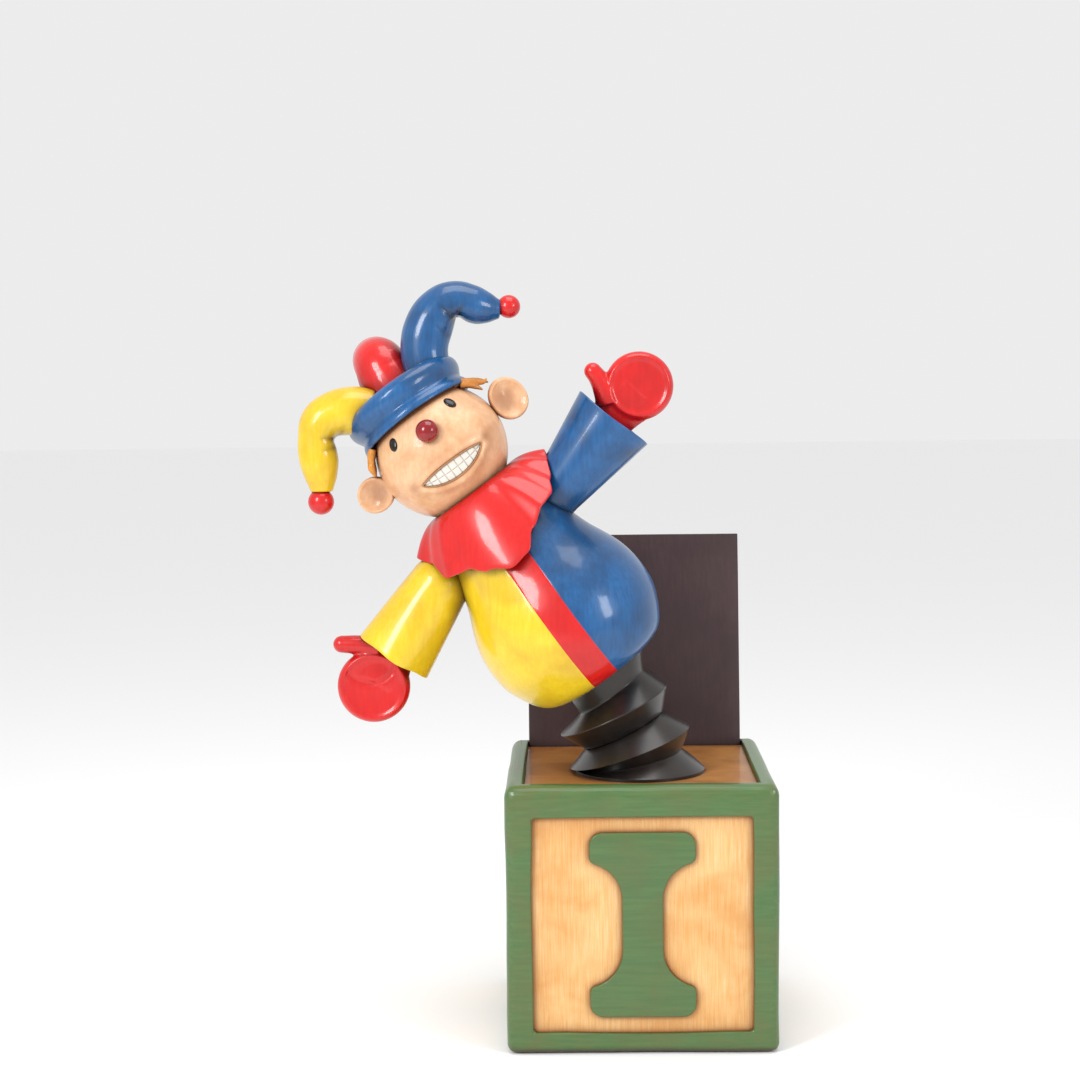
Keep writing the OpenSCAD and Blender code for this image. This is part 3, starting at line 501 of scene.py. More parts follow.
def boxFrame():
    # one moulded frame: a cube with a window sunk in each face and the lid's slot at the back
    post, top, bottom = (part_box(node) for node in ("corner_post_front_left", "top_rail_front",
                                                   "bottom_rail_front"))
    half, inner, deckHalf = -post[0].x, -post[1].x, -top[1].y
    height, low, high = top[1].z, bottom[1].z, top[0].z
    slotRear = half - boxSize["slotMarginMm"] / 1000
    piece = block("box_frame", (2 * half, 2 * half, height), (0, 0, height / 2))
    corners = {rounded(vertex.co) for vertex in piece.data.vertices}
    editAll(piece)
    bpy.ops.mesh.select_mode(type="FACE")
    bpy.ops.mesh.inset(thickness=0.05, use_individual=True)
    bpy.ops.object.mode_set(mode="OBJECT")
    for vertex in piece.data.vertices:
        x, y, z = vertex.co
        if rounded(vertex.co) in corners:
            continue
        if abs(abs(x) - half) < 1e-4:
            vertex.co = (x, math.copysign(inner, y), high if z > height / 2 else low)
        elif abs(abs(y) - half) < 1e-4:
            vertex.co = (math.copysign(inner, x), y, high if z > height / 2 else low)
        elif z > height / 2:
            vertex.co = (math.copysign(deckHalf, x), slotRear if y > 0 else -deckHalf, z)
        else:
            vertex.co = (math.copysign(inner, x), math.copysign(inner, y), z)
    rims = {rounded(vertex.co) for vertex in piece.data.vertices} - corners
    bpy.ops.object.mode_set(mode="EDIT")
    bpy.ops.mesh.extrude_faces_move(TRANSFORM_OT_shrink_fatten={"value": -boxSize["wallDepthMm"] / 1000})
    bpy.ops.object.mode_set(mode="OBJECT")
    for weight, ends in bevelWeights(piece):
        ends = [rounded(end) for end in ends]
        onCorner, onRim = [end in corners for end in ends], [end in rims for end in ends]
        atSlot = all(end[2] > height - 0.001 and end[1] > 0.2 for end in ends)
        if all(onCorner):
            weight.value = boxSize["slotShare"] if atSlot else 1
        elif all(onRim) and ends[0][2] > 0.01:
            weight.value = boxSize["rimShare"] * (0.5 if atSlot else 1)
        elif any(onRim) and not any(onCorner) and ends[0][2] > 0.02:
            weight.value = boxSize["cornerShare"]
    addModifier(piece, "BEVEL", width=boxSize["outerBevelMm"] / 1000, segments=5, limit_method="WEIGHT",
                use_clamp_overlap=False)
    addModifier(piece, "SUBSURF", subdivision_type="SIMPLE", levels=3, render_levels=3)
    handWave(piece, boxSize["handWaveMm"], (5, 13), 0.5)
    moveVertices(piece, upright, lambda p: (p.x, p.y, max(p.z, 0)))
    tidyMesh(piece, 0.01)
    smooth(piece, 40)
    posts = [f"corner_post_{end}_{side}" for end in ("front", "rear") for side in ("left", "right")]
    rails = [f"{level}_rail_{side}" for level in ("top", "bottom")
             for side in ("front", "rear", "left", "right")]
    finishPiece(piece, "box", "frame_green", posts + rails)


plateShape = {"cornerMm": 26, "flangeCornerMm": 14, "biteMm": 75, "waistMm": 40, "straightMm": 50,
              "edgeBevelMm": 3.2}


def arc(centre, radius, start, end, steps=10):
    angles = [math.radians(start + (end - start) * i / steps) for i in range(steps + 1)]
    return [(centre[0] + radius * math.cos(angle), centre[1] + radius * math.sin(angle), "sharp")
            for angle in angles]


def plates():
    low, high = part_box("plate_front")
    wide, tall = 500 * (high.x - low.x), 500 * (high.z - low.z)
    bite, waist, straight = plateShape["biteMm"], plateShape["waistMm"], plateShape["straightMm"]
    corner, small = plateShape["cornerMm"], plateShape["flangeCornerMm"]
    across = waist + bite - wide + small
    drop = math.sqrt((bite + small) ** 2 - across ** 2)
    lean = math.degrees(math.atan2(drop, across))
    quarter = arc((wide - corner, tall - corner), corner, 90, 0)
    quarter += arc((wide - small, straight + drop), small, 0, -lean)
    quarter += arc((waist + bite, straight), bite, 180 - lean, 180, 16)
    right = quarter + [(x, -z, "sharp") for x, z, _ in reversed(quarter)]
    loop = right + [(-x, z, "sharp") for x, z, _ in reversed(right)]
    plain = outline("plate", loop, closed=True, fineness=1)
    editAll(plain)
    bpy.ops.mesh.remove_doubles(threshold=0.0001)
    bpy.ops.mesh.edge_face_add()
    bpy.ops.mesh.extrude_region_move(TRANSFORM_OT_translate={"value": (0, low.y - high.y, 0)})
    tidyMesh(plain)
    bevel(plain, plateShape["edgeBevelMm"], 4, 60)
    settle(plain, Matrix.Translation((0, high.y, (low.z + high.z) / 2)))
    smooth(plain, 40)
    for turns, side in enumerate(("front", "right", "rear", "left")):
        piece = settle(copyOf(plain, "raised_plate_" + side), rotation(90 * turns, "Z"))
        finishPiece(piece, "box", "plate_green", ["plate_" + side])
    bpy.data.objects.remove(plain)


lidSize = {"thickMm": 15, "longMm": 472, "leanDegrees": -6.5, "edgeMm": 2.2, "waveMm": 0.5}


def lidBoard():
    hinge = Vector(joints["lid_hinge"]["pos_m"])
    low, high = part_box("lid_panel")
    thick, tall = lidSize["thickMm"] / 1000, lidSize["longMm"] / 1000
    piece = block("lid_board", (high.x - low.x, thick, tall + thick / 2), (0, 0, (tall - thick / 2) / 2))
    for weight, ends in bevelWeights(piece):
        isKnuckle = all(end.z < 0 for end in ends) and abs(ends[0].x + ends[1].x) < 0.001
        weight.value = 1 if isKnuckle else 2 * lidSize["edgeMm"] / lidSize["thickMm"]
    addModifier(piece, "BEVEL", width=thick / 2 - 0.0001, segments=4, limit_method="WEIGHT")
    addModifier(piece, "SUBSURF", subdivision_type="SIMPLE", levels=4, render_levels=4)
    handWave(piece, lidSize["waveMm"], (7,), 0.5)
    tidyMesh(piece, 0.01)
    settle(piece, Matrix.Translation(hinge) @ rotation(lidSize["leanDegrees"], "X"))
    smooth(piece, 40)
    finishPiece(piece, "lid", "lid_brown", ["lid_panel"])


boxFrame()
plates()
lidBoard()
print("box and lid made")

# rings as (x, z, tilt in degrees, radius) in mm, from the deck up to the body
bellowsRings = {"lower": [(3, 524, 0, 133), (3, 530, 0, 133), (-16, 549, 11, 107), (-17, 574, 19.4, 130),
                          (-29, 609.6, 26, 89)],
                "upper": [(-29, 610.2, 26, 89), (-50, 651, 25, 121), (-54, 690, 36, 80), (-66, 731, 36, 92)],
                "foldBevelMm": 2.6, "wallMm": 3.5}


def bellowsSkin(name, rings):
    steps = 5
    knots = []
    for i, (start, end) in enumerate(zip(rings, rings[1:])):
        knots += [(start[3] + (end[3] - start[3]) * k / steps, (i + k / steps) * 100, "sharp")
                  for k in range(steps)]
    knots.append((rings[-1][3], (len(rings) - 1) * 100, "sharp"))
    piece = turned(name, knots, upright, steps=128, fineness=1)

    def ringPoint(ring, across, deep):
        x, z, tilt, _ = ring
        lean = math.radians(tilt)
        return Vector((x + across * math.cos(lean), deep, z + across * math.sin(lean)))

    def bend(point):
        share = min(max(point.z / 100, 0), len(rings) - 1 - 1e-6)
        i = int(share)
        t = share - i
        lower, upper = (ringPoint(rings[i + k], point.x, point.y) for k in (0, 1))
        spot = lower.lerp(upper, t)
        return (spot.x, spot.y + pivot.y * 1000, spot.z)

    moveVertices(piece, upright, bend)
    tidyMesh(piece)
    addModifier(piece, "SOLIDIFY", thickness=bellowsRings["wallMm"] / 1000, offset=-1, use_even_offset=True)
    bevel(piece, bellowsRings["foldBevelMm"], 3, 35)
    return smooth(piece, 50)


def bellows():
    lower, upper = (bellowsSkin(f"bellows_{half}_skin", bellowsRings[half]) for half in ("lower", "upper"))
    for piece, node in ((lower, "bellows_lower"), (upper, "bellows_upper")):
        coat(piece, "bellows_black")
        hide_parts(node)
    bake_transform(lower)
    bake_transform(upper)


bellows()
print("bellows made")

bodyShape = {"profile": [(99, 138), (112, 139.4), (129, 144.9), (142.8, 152.6), (153.5, 163.2), (166, 182),
                         (178, 206), (187, 230), (190.5, 256), (190.5, 288), (186, 320), (177, 350),
                         (166, 376), (154, 402), (144, 430), (129, 480), (108, 527), (88, 559)],
             "stripeHalfMm": 28.5, "wallMm": 5, "seamMm": 0.8, "socketGapMm": 0.8}
armShape = {"right": {"shoulderMm": 54.6, "cuffMm": 88.5, "longMm": 194},
            "left": {"shoulderMm": 62.9, "cuffMm": 83.2, "longMm": 173}}
alongX = rotation(90, "Y")


def dome(radius, start, end, steps):
    # knots round a sleeve's closed end, in degrees from its tip
    angles = [math.radians(start + (end - start) * i / steps) for i in range(steps + 1)]
    return [(radius * math.sin(angle), -radius * math.cos(angle), "sharp") for angle in angles]


def sleeveCutter(side, place, gap):
    size = armShape[side]
    knots = dome(size["shoulderMm"] + gap, 0, 90, 15)
    knots += [(size["cuffMm"] + gap, size["longMm"], "sharp"), (0.0, size["longMm"], "sharp")]
    return turned("cutter_" + side, knots, place @ alongX, steps=96, fineness=1)


def cut(piece, cutter):
    addModifier(piece, "BOOLEAN", operation="DIFFERENCE", object=cutter, solver="EXACT")


def body():
    shell = turned("body_shell", bodyShape["profile"], upright, steps=160, fineness=5)
    half = bodyShape["stripeHalfMm"] / 1000
    parts = {}
    for name, low, high in (("body_left", None, -half), ("body_stripe", -half, half),
                            ("body_right", half, None)):
        piece = copyOf(shell, name)
        for limit, above in ((high, True), (low, False)):
            if limit is not None:
                editAll(piece)
                bpy.ops.mesh.bisect(plane_co=(limit, 0, 0), plane_no=(1, 0, 0), clear_outer=above,
                                    clear_inner=not above)
                bpy.ops.object.mode_set(mode="OBJECT")
        settle(piece, figureFrame)
        parts[name] = thicken(piece, bodyShape["wallMm"])
    bpy.data.objects.remove(shell)
    for side, place in (("right", rightArmFrame), ("left", leftArmFrame)):
        cutter = sleeveCutter(side, place, bodyShape["socketGapMm"])
        cut(parts["body_" + side], cutter)
        bpy.data.objects.remove(cutter)
    slots = {"body_left": "yellow", "body_stripe": "red", "body_right": "blue"}
    for name, piece in parts.items():
        bevel(piece, bodyShape["seamMm"], 2, 60)
        smooth(piece, 40)
        finishPiece(piece, "figure", slots[name], [name.replace("body", "torso")])


# collar edge as (angle from +X towards the rear, radius, height above the pivot), the front half
collarShape = {"edge": [(-180, 174, 556), (-162, 158, 528), (-145, 169, 488), (-127, 155, 480),
                        (-110, 163, 454), (-93, 171, 431), (-80, 168, 437), (-65, 156, 470), (-50, 169, 496),
                        (-38, 171, 502), (-26, 166, 526), (-11, 169, 560), (0, 172, 580)],
               "neckMm": 93, "neckHighMm": 600, "flatMm": 75, "plainRimMm": 165, "flareMm": 5, "rows": 16,
               "wallMm": 6, "rimMm": 2.6, "droop": 1.35}


def collarEdge(angle):
    # the rear half mirrors the front
    table = collarShape["edge"]
    angle = -abs(angle)
    for (a0, r0, z0), (a1, r1, z1) in zip(table, table[1:]):
        if a0 <= angle <= a1:
            t = (angle - a0) / (a1 - a0)
            t = t * t * (3 - 2 * t)
            return r0 + (r1 - r0) * t, z0 + (z1 - z0) * t
    return table[-1][1:]


def collar():
    # a flat ring first, then draped
    neck, high, flat = collarShape["neckMm"], collarShape["neckHighMm"], collarShape["flatMm"]
    rows, plain = collarShape["rows"], collarShape["plainRimMm"]
    knots = [(neck + flat * i / rows, high - i, "sharp") for i in range(rows + 1)]
    piece = turned("ruffled_collar", knots, figureFrame, steps=240, fineness=1)

    def drape(point):
        share = min(max((math.hypot(point.x, point.y) - neck) / flat, 0), 1)
        turn = math.atan2(point.y, point.x)
        edgeR, edgeZ = collarEdge(math.degrees(turn))
        radius = neck + (plain - neck) * share + (edgeR - plain) * share ** 1.2
        drop = (high - edgeZ) * share ** collarShape["droop"]
        flare = collarShape["flareMm"] * math.sin(math.pi * share)
        return (radius * math.cos(turn), radius * math.sin(turn), high - drop + flare)

    moveVertices(piece, figureFrame, drape)
    tidyMesh(piece)
    relax(piece, 3)
    thicken(piece, collarShape["wallMm"])
    bevel(piece, collarShape["rimMm"], 4, 60)
    smooth(piece, 50)
    finishPiece(piece, "figure", "red", ["collar"])


body()
collar()
print("body and collar made")

sleeveShape = {"wallMm": 5, "openMm": 26, "rimMm": 2.2, "pegHoleMm": 9.6,
               "right": {"flutes": 3, "fluteMm": 1.2}, "left": {"flutes": 5, "fluteMm": 2.6}}
# a thumb as (along, up, radius) in mm
gloveShape = {"right": {"palmMm": 70, "palmAtMm": 274, "front": -1,
                        "thumb": [(206, 26, 24), (224, 52, 22), (236, 76, 19.5), (240, 92, 18)]},
              "left": {"palmMm": 75, "palmAtMm": 247, "front": 1,
                       "thumb": [(172, 34, 22), (186, 60, 20.5), (200, 84, 19.5), (211, 102, 18)]},
              "thickMm": 36, "wristMm": 44, "voxelMm": 2.4, "beadMm": 2.6}


def sleeve(side, place, slot):
    size = armShape[side]
    r1, r2, longMm = size["shoulderMm"], size["cuffMm"], size["longMm"]
    wall, hole = sleeveShape["wallMm"], sleeveShape["pegHoleMm"]
    rim = sleeveShape["rimMm"]
    start = math.degrees(math.asin(hole / r1))
    knots = dome(r1, start, 90, 20)
    knots += [(r1 + (r2 - r1) * t, longMm * t, "sharp")
              for t in (0.1, 0.2, 0.3, 0.4, 0.5, 0.6, 0.7, 0.8, 0.9, 0.96)]
    knots += [(r2, longMm - rim, "sharp"), (r2 - rim * 0.35, longMm - rim * 0.3, "sharp"),
              (r2 - wall / 2, longMm, "sharp"), (r2 - wall + rim * 0.35, longMm - rim * 0.3, "sharp"),
              (r2 - wall, longMm - rim, "sharp")]
    knots += [(r1 + (r2 - r1) * t - wall, longMm * t, "sharp") for t in (0.9, 0.8, 0.6, 0.4, 0.2, 0.0)]
    inner = r1 - wall
    knots += dome(inner, 90, math.degrees(math.asin(hole / inner)), 12)[1:]
    piece = spun(outline("sleeve_" + side + "_skin", knots, closed=True, fineness=1), 144)
    settle(piece, place @ alongX)
    flute = sleeveShape[side]

    def shape(point):
        # soft flutes that grow towards the cuff
        share = min(max(point.x / longMm, 0), 1)
        radius = math.hypot(point.y, point.z)
        turn = math.atan2(point.z, point.y)
        ripple = flute["fluteMm"] * share ** 2.2 * (math.cos(flute["flutes"] * turn + 0.6) - 1)
        scale = (radius + ripple) / max(radius, 1e-6) if radius > 20 else 1
        lip = 1.5 * share ** 4 * math.cos(flute["flutes"] * turn + 0.6) - 1.5 * share ** 4
        return (point.x + lip, point.y * scale, point.z * scale)

    moveVertices(piece, place, shape)
    smooth(piece, 40)
    finishPiece(piece, side + "_arm", slot, ["sleeve_" + side])
    depth = longMm - sleeveShape["openMm"]
    radius = r1 + (r2 - r1) * depth / longMm - wall - 0.5
    disc = turned("cuff_lining_" + side, [(0.0, depth, "sharp"), (radius * 0.5, depth + 1.5, "sharp"),
                                          (radius - 2, depth, "sharp"), (radius, depth - 3, "sharp"),
                                          (radius, depth - 5, "sharp"), (0.0, depth - 5, "sharp")],
                  place @ alongX, steps=96, fineness=1)
    finishPiece(disc, side + "_arm", slot)


def glove(side, place):
    size = gloveShape[side]
    palm, at, half = size["palmMm"], size["palmAtMm"], gloveShape["thickMm"] / 2
    front = size["front"]
    puck = turned("palm", [(0.0, -half + 3), (palm * 0.45, -half + 2.6), (palm * 0.8, -half + 0.8),
                           (palm - 9, -half), (palm - 3, -half + 5), (palm, -2), (palm - 4, 9),
                           (palm - 14, half - 2), (palm * 0.5, half), (0.0, half)],
                  place @ shift(at, 0, 0) @ rotation(90 * front, "X"), steps=96, fineness=6)
    thumb = tapered("thumb", [(x, 0, z, r) for x, z, r in size["thumb"]], place)
    longMm = armShape[side]["longMm"]
    wide = gloveShape["wristMm"]
    wrist = tapered("wrist", [(longMm - 24, 0, 0, wide), (longMm, 0, 2, wide + 4), (at - 40, 0, 2, wide + 14),
                              (at - 10, 0, 0, wide + 20)], place)
    moveVertices(wrist, place, lambda p: (p.x, p.y * 0.3, p.z))
    tip = size["thumb"][-1]
    cap = settle(sphere("thumb_tip", tip[2], 32, 16), place @ shift(tip[0], 0, tip[1]))
    piece = join("glove_" + side + "_skin", [puck, thumb, wrist, cap])
    remesh(piece, gloveShape["voxelMm"])
    relax(piece, 6, 0.6)
    bead = gloveShape["beadMm"]

    def shape(point):
        # a soft bead runs round the palm, and a crease folds across the left palm
        radius = math.hypot(point.x - at, point.z)
        onFront = point.y * front > 0
        lift = bead * math.exp(-((radius - palm + 11) / 5) ** 2) if onFront else 0
        if side == "left":
            mound = math.hypot(point.x - at + 48, point.z - 40) - 56
            lift -= 3 * math.exp(-(mound / 5) ** 2) if onFront and radius < palm - 12 else 0
        return (point.x, point.y + lift * front, point.z)

    moveVertices(piece, place, shape)
    relax(piece, 2)
    smooth(piece, 60)
    finishPiece(piece, side + "_arm", "red", ["glove_" + side])


sleeve("right", rightArmFrame, "blue")
sleeve("left", leftArmFrame, "yellow")
glove("right", rightArmFrame)
glove("left", leftArmFrame)
print("arms made")

faceShape = {"radiusMm": 135, "wallMm": 4, "chinMm": 132.5, "mouthHalfMm": 72, "mouthTopMm": -25,
             "mouthBottomMm": -61, "mouthEndMm": -33, "lipMm": 1.7, "teethPerRow": 9,
             "toothGrooveMm": 1.5, "toothWallMm": 1.5,
             "eyeTurnDegrees": 36.7, "eyeUpDegrees": 29.8, "noseMm": 23, "noseUpDegrees": 19.7}


def mouthSpan(x):
    # lower and upper edge of the mouth at x, or None outside it
    share = abs(x) / faceShape["mouthHalfMm"]
    if share >= 1:
        return None
    end = faceShape["mouthEndMm"]
    upper = end + (faceShape["mouthTopMm"] - end) * (1 - share ** 2.2) ** 0.8
    lower = end - (end - faceShape["mouthBottomMm"]) * (1 - share ** 2.0) ** 0.75
    return lower, upper


def outsideMouth(x, z):
    # rough distance in mm outside the mouth, below 0 inside it
    half = faceShape["mouthHalfMm"]
    span = mouthSpan(max(min(x, half * 0.985), -half * 0.985))
    over = max(abs(x) - half * 0.985, 0)
    up = max(z - span[1], span[0] - z)
    return math.hypot(over, max(up, 0)) if over or up > 0 else up


def headSkin():
    radius = faceShape["radiusMm"]
    piece = sphere("head_skin", radius, 224, 150)
    editAll(piece)
    bpy.ops.mesh.bisect(plane_co=(0, 0, -faceShape["chinMm"] / 1000), plane_no=(0, 0, 1), clear_inner=True)
    bpy.ops.object.mode_set(mode="OBJECT")

    def shape(point):
        direction = point.normalized()
        lift = 0
        if point.y < 0:
            away = outsideMouth(point.x, point.z)
            lift += 2.2 * math.exp(-((away - 10) / 7) ** 2) - 5 / (1 + math.exp(away * 1.3 - 1))
            for side in (-1, 1):
                cheek = Vector((side * 92, 0, -8)) - Vector((point.x, 0, point.z))
                lift += 5 * math.exp(-(cheek.length / 30) ** 2)
                crease = Vector((side * 84, 0, -30)) - Vector((point.x, 0, point.z))
                lift -= 2.2 * math.exp(-(crease.length / 7) ** 2)
            brow = point.z - 88
            lift += 1.5 * math.exp(-(brow / 16) ** 2)
        return point + direction * lift

    moveVertices(piece, upright, shape)
    settle(piece, headFrame)
    thicken(piece, faceShape["wallMm"])
    smooth(piece, 60)

    def shadeRoundMouth(point):
        # painted shade round the mouth and in the smile creases, standing also for the brown glaze there
        if point.y > 0:
            return 0
        away = outsideMouth(point.x, point.z)
        ends = min(math.hypot(abs(point.x) - 86, point.z + 30), 40)
        ring, line = 0.14 * math.exp(-((away - 19) / 6) ** 2), 0.4 * math.exp(-away ** 2 / 9)
        return ring + 0.3 * math.exp(-(ends / 9) ** 2) + line

    paintShadeMarks(piece, headFrame, shadeRoundMouth)
    finishPiece(piece, "head", "skin", ["head_shell"])


def onFace(x, z, radius):
    return Vector((x, -math.sqrt(max(radius ** 2 - x * x - z * z, 0)), z))


def teethRows():
    radius, count, groove = faceShape["radiusMm"], faceShape["teethPerRow"], faceShape["toothGrooveMm"]
    half = faceShape["mouthHalfMm"]
    deselect()
    bpy.ops.mesh.primitive_grid_add(x_subdivisions=280, y_subdivisions=56, size=2)
    teeth = named("teeth_rows")
    shade = teeth.data.attributes.new("groove", "FLOAT", "POINT")
    for vertex in teeth.data.vertices:
        across, up = vertex.co.x, (vertex.co.y + 1) / 2
        x = across * half * 0.985
        low, high = mouthSpan(x)
        z = low + (high - low) * up
        cell = (across * count / 2 + 0.5) % 1
        gap = max(math.exp(-(min(cell, 1 - cell) * 17 / 1.3) ** 2),
                  math.exp(-((up - 0.5) * (high - low) / 1.0) ** 2))
        edge = math.exp(-(min(up, 1 - up) * (high - low) / 2.2) ** 2)
        # painted shade, standing also for glaze, in the sunken gaps between the teeth and along the top and bottom
        # of the rows
        shade.data[vertex.index].value = min(1, 0.5 * gap + 0.7 * edge)
        vertex.co = onFace(x, z, radius - 1.6 - groove * gap - 1.5 * edge) / 1000
    tidyMesh(teeth, 0.001)
    settle(teeth, headFrame)
    thicken(teeth, faceShape["toothWallMm"])
    smooth(teeth, 50)
    finishPiece(teeth, "head", "tooth_white", ["teeth"])


def lipLine():
    # a thin rod round the mouth, along its upper edge and back along the lower one
    half = faceShape["mouthHalfMm"]
    steps = [i / 40 for i in range(-40, 41)]
    edges = [(half * share, mouthSpan(half * min(max(share, -0.999), 0.999))) for share in steps]
    loop = [(x, span[1]) for x, span in edges[1:-1]] + [(x, span[0]) for x, span in reversed(edges)]
    _, spline = bezier("lip_line", len(loop), 3, closed=True, thickMm=faceShape["lipMm"])
    for point, (x, z) in zip(spline.bezier_points, loop):
        setKnot(point, onFace(x, z, faceShape["radiusMm"] - 0.4))
    lips = meshOf()
    tidyMesh(lips)
    settle(lips, headFrame)
    smooth(lips, 60)
    finishPiece(lips, "head", "lip_brown", ["lip_ring"])


def ball(name, radius, place, squash=(1, 1, 1), sides=64):
    # a moulded ball, pressed flat where it is glued on
    piece = sphere(name, radius, sides, sides // 2)
    piece.scale = squash
    bpy.ops.object.transform_apply(location=False, rotation=False, scale=True)
    moveVertices(piece, upright, lambda p: (p.x, min(p.y, radius * squash[1] * 0.86), p.z))
    settle(piece, place)
    return smooth(piece, 60)


def eyesAndNose():
    radius = faceShape["radiusMm"]
    eyes = []
    for side in (-1, 1):
        aim = rotation(side * faceShape["eyeTurnDegrees"], "Z") @ rotation(-faceShape["eyeUpDegrees"], "X")
        place = headFrame @ aim @ shift(0, -(radius + 0.2), 0)
        eyes.append(ball("eye", 10.2, place, (1, 0.42, 1.4)))
    finishPiece(join("eye_pair", eyes), "head", "eye_black", ["eyes"])
    out = radius + faceShape["noseMm"] * 0.45
    place = headFrame @ rotation(-faceShape["noseUpDegrees"], "X") @ shift(0, -out, 0)
    finishPiece(ball("nose_ball", faceShape["noseMm"], place, (1, 0.95, 1)), "head", "nose_red", ["nose"])


# each ear as its place in mm and its share of the profile's width and height
earShape = {"left": (-160, -10, 9, 0.95, 0.9), "right": (172, -10, 6, 0.97, 1.1), "rimMm": 41, "splay": 14,
            "profile": [(0.0, 4), (14, 2.5), (24, -1), (31, -5), (36, -7.8), (39.4, -6.5), (41, -2),
                        (40.4, 4), (37, 10), (28, 15), (14, 18), (0.0, 19)]}


def ears():
    for side, sign in (("left", -1), ("right", 1)):
        x, y, z, wide, tall = earShape[side]
        place = headFrame @ shift(x, y, z) @ rotation(sign * earShape["splay"], "Z")
        piece = turned("ear_" + side + "_skin", earShape["profile"], rotation(-90, "X"), steps=96, fineness=6)

        def shape(point):
            # taller than wide, fuller at the lobe, and the inner side swells towards the head
            swell = 5 * math.exp(-((point.x * sign + 20) / 14) ** 2 - (point.z / 22) ** 2)
            swell = swell if point.y > -8 else 0
            lobe = 1 + 0.06 * max(-point.z, 0) / earShape["rimMm"]
            return (point.x * wide * lobe, point.y - swell, point.z * tall)

        moveVertices(piece, upright, shape)
        # brown painted shade in the bowl, thickest beside the head, standing also for the glaze wiped in there,
        # and a little over the back
        paintShadeMarks(piece, upright, lambda p: 0.55 * math.exp(-(math.hypot(p.x + 9 * sign, p.z) / 24) ** 4)
                     if p.y < 6 else 0.15)
        settle(piece, place)
        smooth(piece, 60)
        finishPiece(piece, "head", "skin", ["ear_" + side])


def hair():
    # locks that stick out from under the hat in front of each ear
    locks = [[(96, -34, 92, 7), (116, -30, 87, 8), (136, -26, 74, 6), (152, -24, 62, 5), (161, -22, 64, 2)],
             [(108, -36, 84, 7), (122, -34, 76, 7), (134, -30, 62, 5), (141, -28, 50, 2)],
             [(118, -18, 86, 7), (136, -12, 76, 7), (150, -8, 66, 5), (160, -6, 56, 2)],
             [(-108, -40, 86, 8), (-120, -38, 76, 9), (-126, -36, 66, 7), (-132, -34, 58, 9),
              (-135, -32, 48, 7), (-138, -30, 38, 3)],
             [(-112, -24, 84, 8), (-124, -20, 72, 8), (-132, -18, 58, 8), (-138, -16, 44, 3)]]
    pieces = [tapered("lock", points, headFrame, sides=16, fineness=8) for points in locks]
    piece = join("hair_locks", pieces)
    remesh(piece, 1.6)

    def strand(point):
        ridge = math.sin(point.y * 1.6 + point.z * 0.25) * 0.5
        return point + point.normalized() * ridge

    moveVertices(piece, headFrame, strand)
    relax(piece, 2)
    smooth(piece, 60)
    finishPiece(piece, "head", "hair_orange", ["hair_tufts"])


headSkin()
teethRows()
lipLine()
eyesAndNose()
ears()
hair()
print("head made")

hatShape = {"band": [(114, 84), (122, 78.5), (127.5, 79), (129, 84), (127, 92), (123.5, 98), (122, 103),
                     (124, 108), (127.5, 114), (131, 121), (133, 130), (132, 139), (127, 147), (119, 153),
                     (108, 156), (98, 154), (92, 146), (96, 132), (108, 110)],
            "crown": [(0.0, 172), (40, 170), (75, 162), (100, 148), (102, 140), (75, 152), (40, 160),
                      (0.0, 162)],
            "voxelMm": 2.6}
# horns as (out, depth, up, radius) in mm from the head's centre; a crease is (out, up, push out, push up)
# and a fold is a groove on the front from one (out, up) to another, with its depth
horns = {
    "horn_right": {
        "points": [(66, 0, 126, 46), (80, 0, 160, 48), (98, 0, 190, 49), (126, 0, 214, 51), (165, 0, 229, 50),
                   (198, 0, 226, 46), (222, 0, 205, 43), (240, 0, 186, 37), (255, 0, 171, 28),
                   (268, 0, 159, 19)],
        "bobble": (285, 0, 154, 23.6), "slot": "blue", "crease": (174, 181, 18, 25),
        "folds": [(178, 196, 171, 244, 5), (188, 196, 214, 214, 3.5), (150, 178, 140, 214, 3)]},
    "horn_left": {
        "points": [(-62, 0, 146, 44), (-78, 0, 160, 48), (-104, 0, 178, 50), (-134, 0, 190, 48),
                   (-160, 0, 190, 46), (-182, 0, 172, 43), (-200, 0, 150, 42), (-216, 0, 124, 39),
                   (-232, 0, 98, 31), (-245, 0, 79, 23)],
        "bobble": (-258, 0, 64, 26.4), "slot": "yellow", "crease": (-152, 136, -9, 13),
        "folds": [(-154, 146, -184, 168, 4), (-150, 146, -122, 158, 4), (-168, 134, -196, 142, 3)]},
    "horn_rear": {
        "points": [(0, 34, 122, 56), (0, 36, 160, 62), (2, 40, 194, 59.5), (5, 46, 214, 55), (5, 76, 228, 51),
                   (4, 112, 232, 48), (2, 146, 222, 43), (0, 172, 200, 37), (-2, 190, 174, 29),
                   (-2, 202, 148, 21)],
        "bobble": (-2, 209, 126, 24), "slot": "red", "crease": None, "folds": []}}


def foldDepth(folds, x, z):
    # how deep the grooves are at a point seen from the front, tapering to nothing at their far end
    deep = 0
    for x0, z0, x1, z1, depth in folds:
        along = Vector((x1 - x0, z1 - z0))
        share = min(max(Vector((x - x0, z - z0)).dot(along) / along.length_squared, 0), 1)
        away = math.hypot(x - x0 - along.x * share, z - z0 - along.y * share)
        deep = max(deep, depth * (1 - share) ** 0.7 * math.exp(-(away / 5) ** 2))
    return deep


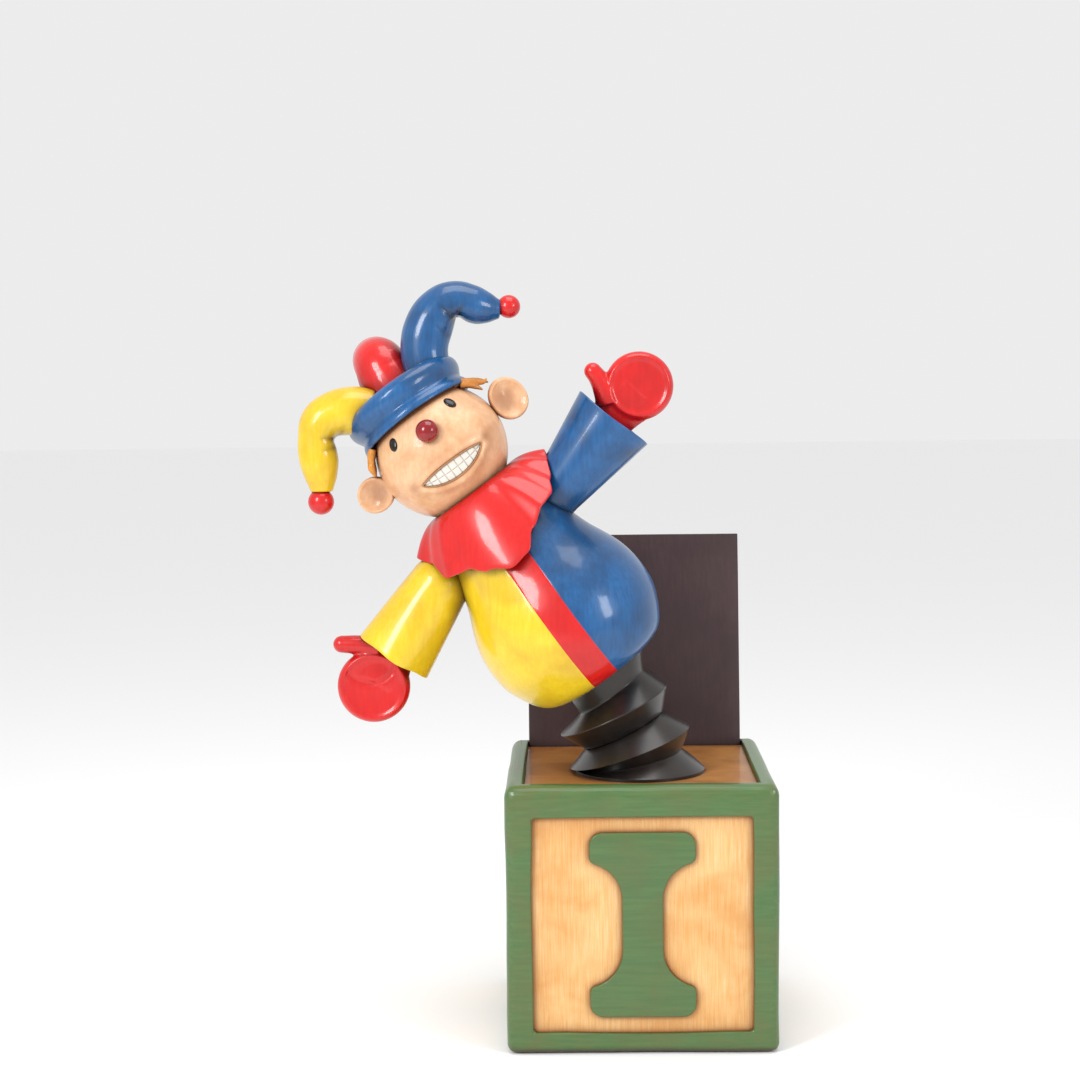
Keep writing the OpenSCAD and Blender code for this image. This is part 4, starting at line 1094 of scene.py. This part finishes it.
def hat():
    band = spun(outline("hat_band_skin", hatShape["band"], closed=True, fineness=5), 160)

    def handMade(point):
        turn = math.atan2(point.y, point.x)
        wave = 1 + 0.008 * math.sin(3 * turn + 0.5) + 0.005 * math.sin(7 * turn)
        return (point.x * wave, point.y * wave, point.z + 1.2 * math.sin(2 * turn + 1.0))

    moveVertices(band, upright, handMade)
    settle(band, hatFrame)
    smooth(band, 50)
    finishPiece(band, "head", "blue", ["hat_band"])
    crown = turned("hat_crown_skin", hatShape["crown"], hatFrame, steps=96, fineness=5)
    finishPiece(crown, "head", "red", ["hat_crown"])
    balls = []
    for name, look in horns.items():
        piece = tapered(name + "_skin", look["points"], headFrame, sides=40, fineness=6)
        remesh(piece, hatShape["voxelMm"])
        relax(piece, 6, 0.6)
        if look["crease"]:
            creaseX, creaseZ, pushX, pushZ = look["crease"]

            def pinch(point):
                # the cloth folds sharply across the inside of the bend, with short grooves beside it
                x, y, z = point
                away = math.hypot(x - creaseX, z - creaseZ)
                spread = math.exp(-away / 15) * max(1 - 0.5 * (y / 50) ** 2, 0.2)
                sink = foldDepth(look["folds"], x, z) if y < 0 else 0
                return (x + pushX * spread, y * (1 - 0.1 * spread) + sink, z + pushZ * spread)

            def shadeInFolds(point):
                # painted shade in the grooves and where the pinch has pushed the crease to, standing also for the
                # glaze there
                away = math.hypot(point.x - creaseX - pushX, point.z - creaseZ - pushZ)
                return 0.16 * foldDepth(look["folds"], point.x, point.z) + 0.6 * math.exp(-away / 16)

            moveVertices(piece, headFrame, pinch)
            relax(piece, 2)
            paintShadeMarks(piece, headFrame, shadeInFolds)
        smooth(piece, 60)
        finishPiece(piece, "head", look["slot"], [name])
        x, y, z, radius = look["bobble"]
        balls.append(ball("bobble", radius, headFrame @ shift(x, y, z)))
    finishPiece(join("bobble_set", balls), "head", "red", ["bobbles"])


hat()
print("hat made")

def camera():
    # lens and place of a level product shot from standing eye height
    view = bpy.data.cameras.new("camera")
    view.sensor_width = 36
    view.lens = 71.5
    view.clip_end = 50
    eye = bpy.data.objects.new("camera", view)
    bpy.context.scene.collection.objects.link(eye)
    right = Vector((0.9998, 0.0159, -0.0117))
    up = Vector((0.0103, 0.0841, 0.9964))
    forward = Vector((-0.0168, 0.9963, -0.0839))
    aim = Matrix((right, up, -forward)).transposed().to_4x4()
    eye.matrix_world = Matrix.Translation((-0.1235, -4.4029, 1.369)) @ aim
    bpy.context.scene.camera = eye


def softBox(name, place, aim, size, power):
    light = bpy.data.lights.new(name, "AREA")
    light.shape = "RECTANGLE"
    light.size, light.size_y = size
    light.energy = power
    lamp = bpy.data.objects.new(name, light)
    bpy.context.scene.collection.objects.link(lamp)
    lamp.location = place
    lamp.rotation_euler = (Vector(aim) - Vector(place)).to_track_quat("-Z", "Y").to_euler()


def studio():
    world = bpy.data.worlds.new("studio")
    world.use_nodes = True
    backdrop = world.node_tree.nodes["Background"]
    backdrop.inputs["Color"].default_value = linear("#ffffff")
    backdrop.inputs["Strength"].default_value = 0.84
    bpy.context.scene.world = world
    bpy.context.scene.view_settings.view_transform = "Standard"
    softBox("key_left", (-2.6, -3.0, 2.6), (-0.2, 0, 0.9), (1.0, 1.6), 90)
    softBox("fill_right", (2.8, -2.6, 2.2), (0, 0, 0.8), (0.8, 1.4), 38)
    softBox("top", (0, -0.4, 4.0), (0, 0, 0.5), (2, 2), 45)
    deselect()
    bpy.ops.mesh.primitive_plane_add(size=60, location=(0, 0, 0))
    floor = named("floor")
    pale = bpy.data.materials.new("white_paper_floor")
    pale.use_nodes = True
    shader = pale.node_tree.nodes["Principled BSDF"]
    shader.inputs["Base Color"].default_value = linear("#fbfbfb")
    shader.inputs["Roughness"].default_value = 0.9
    floor.data.materials.append(pale)


camera()
studio()
print("camera and studio set")
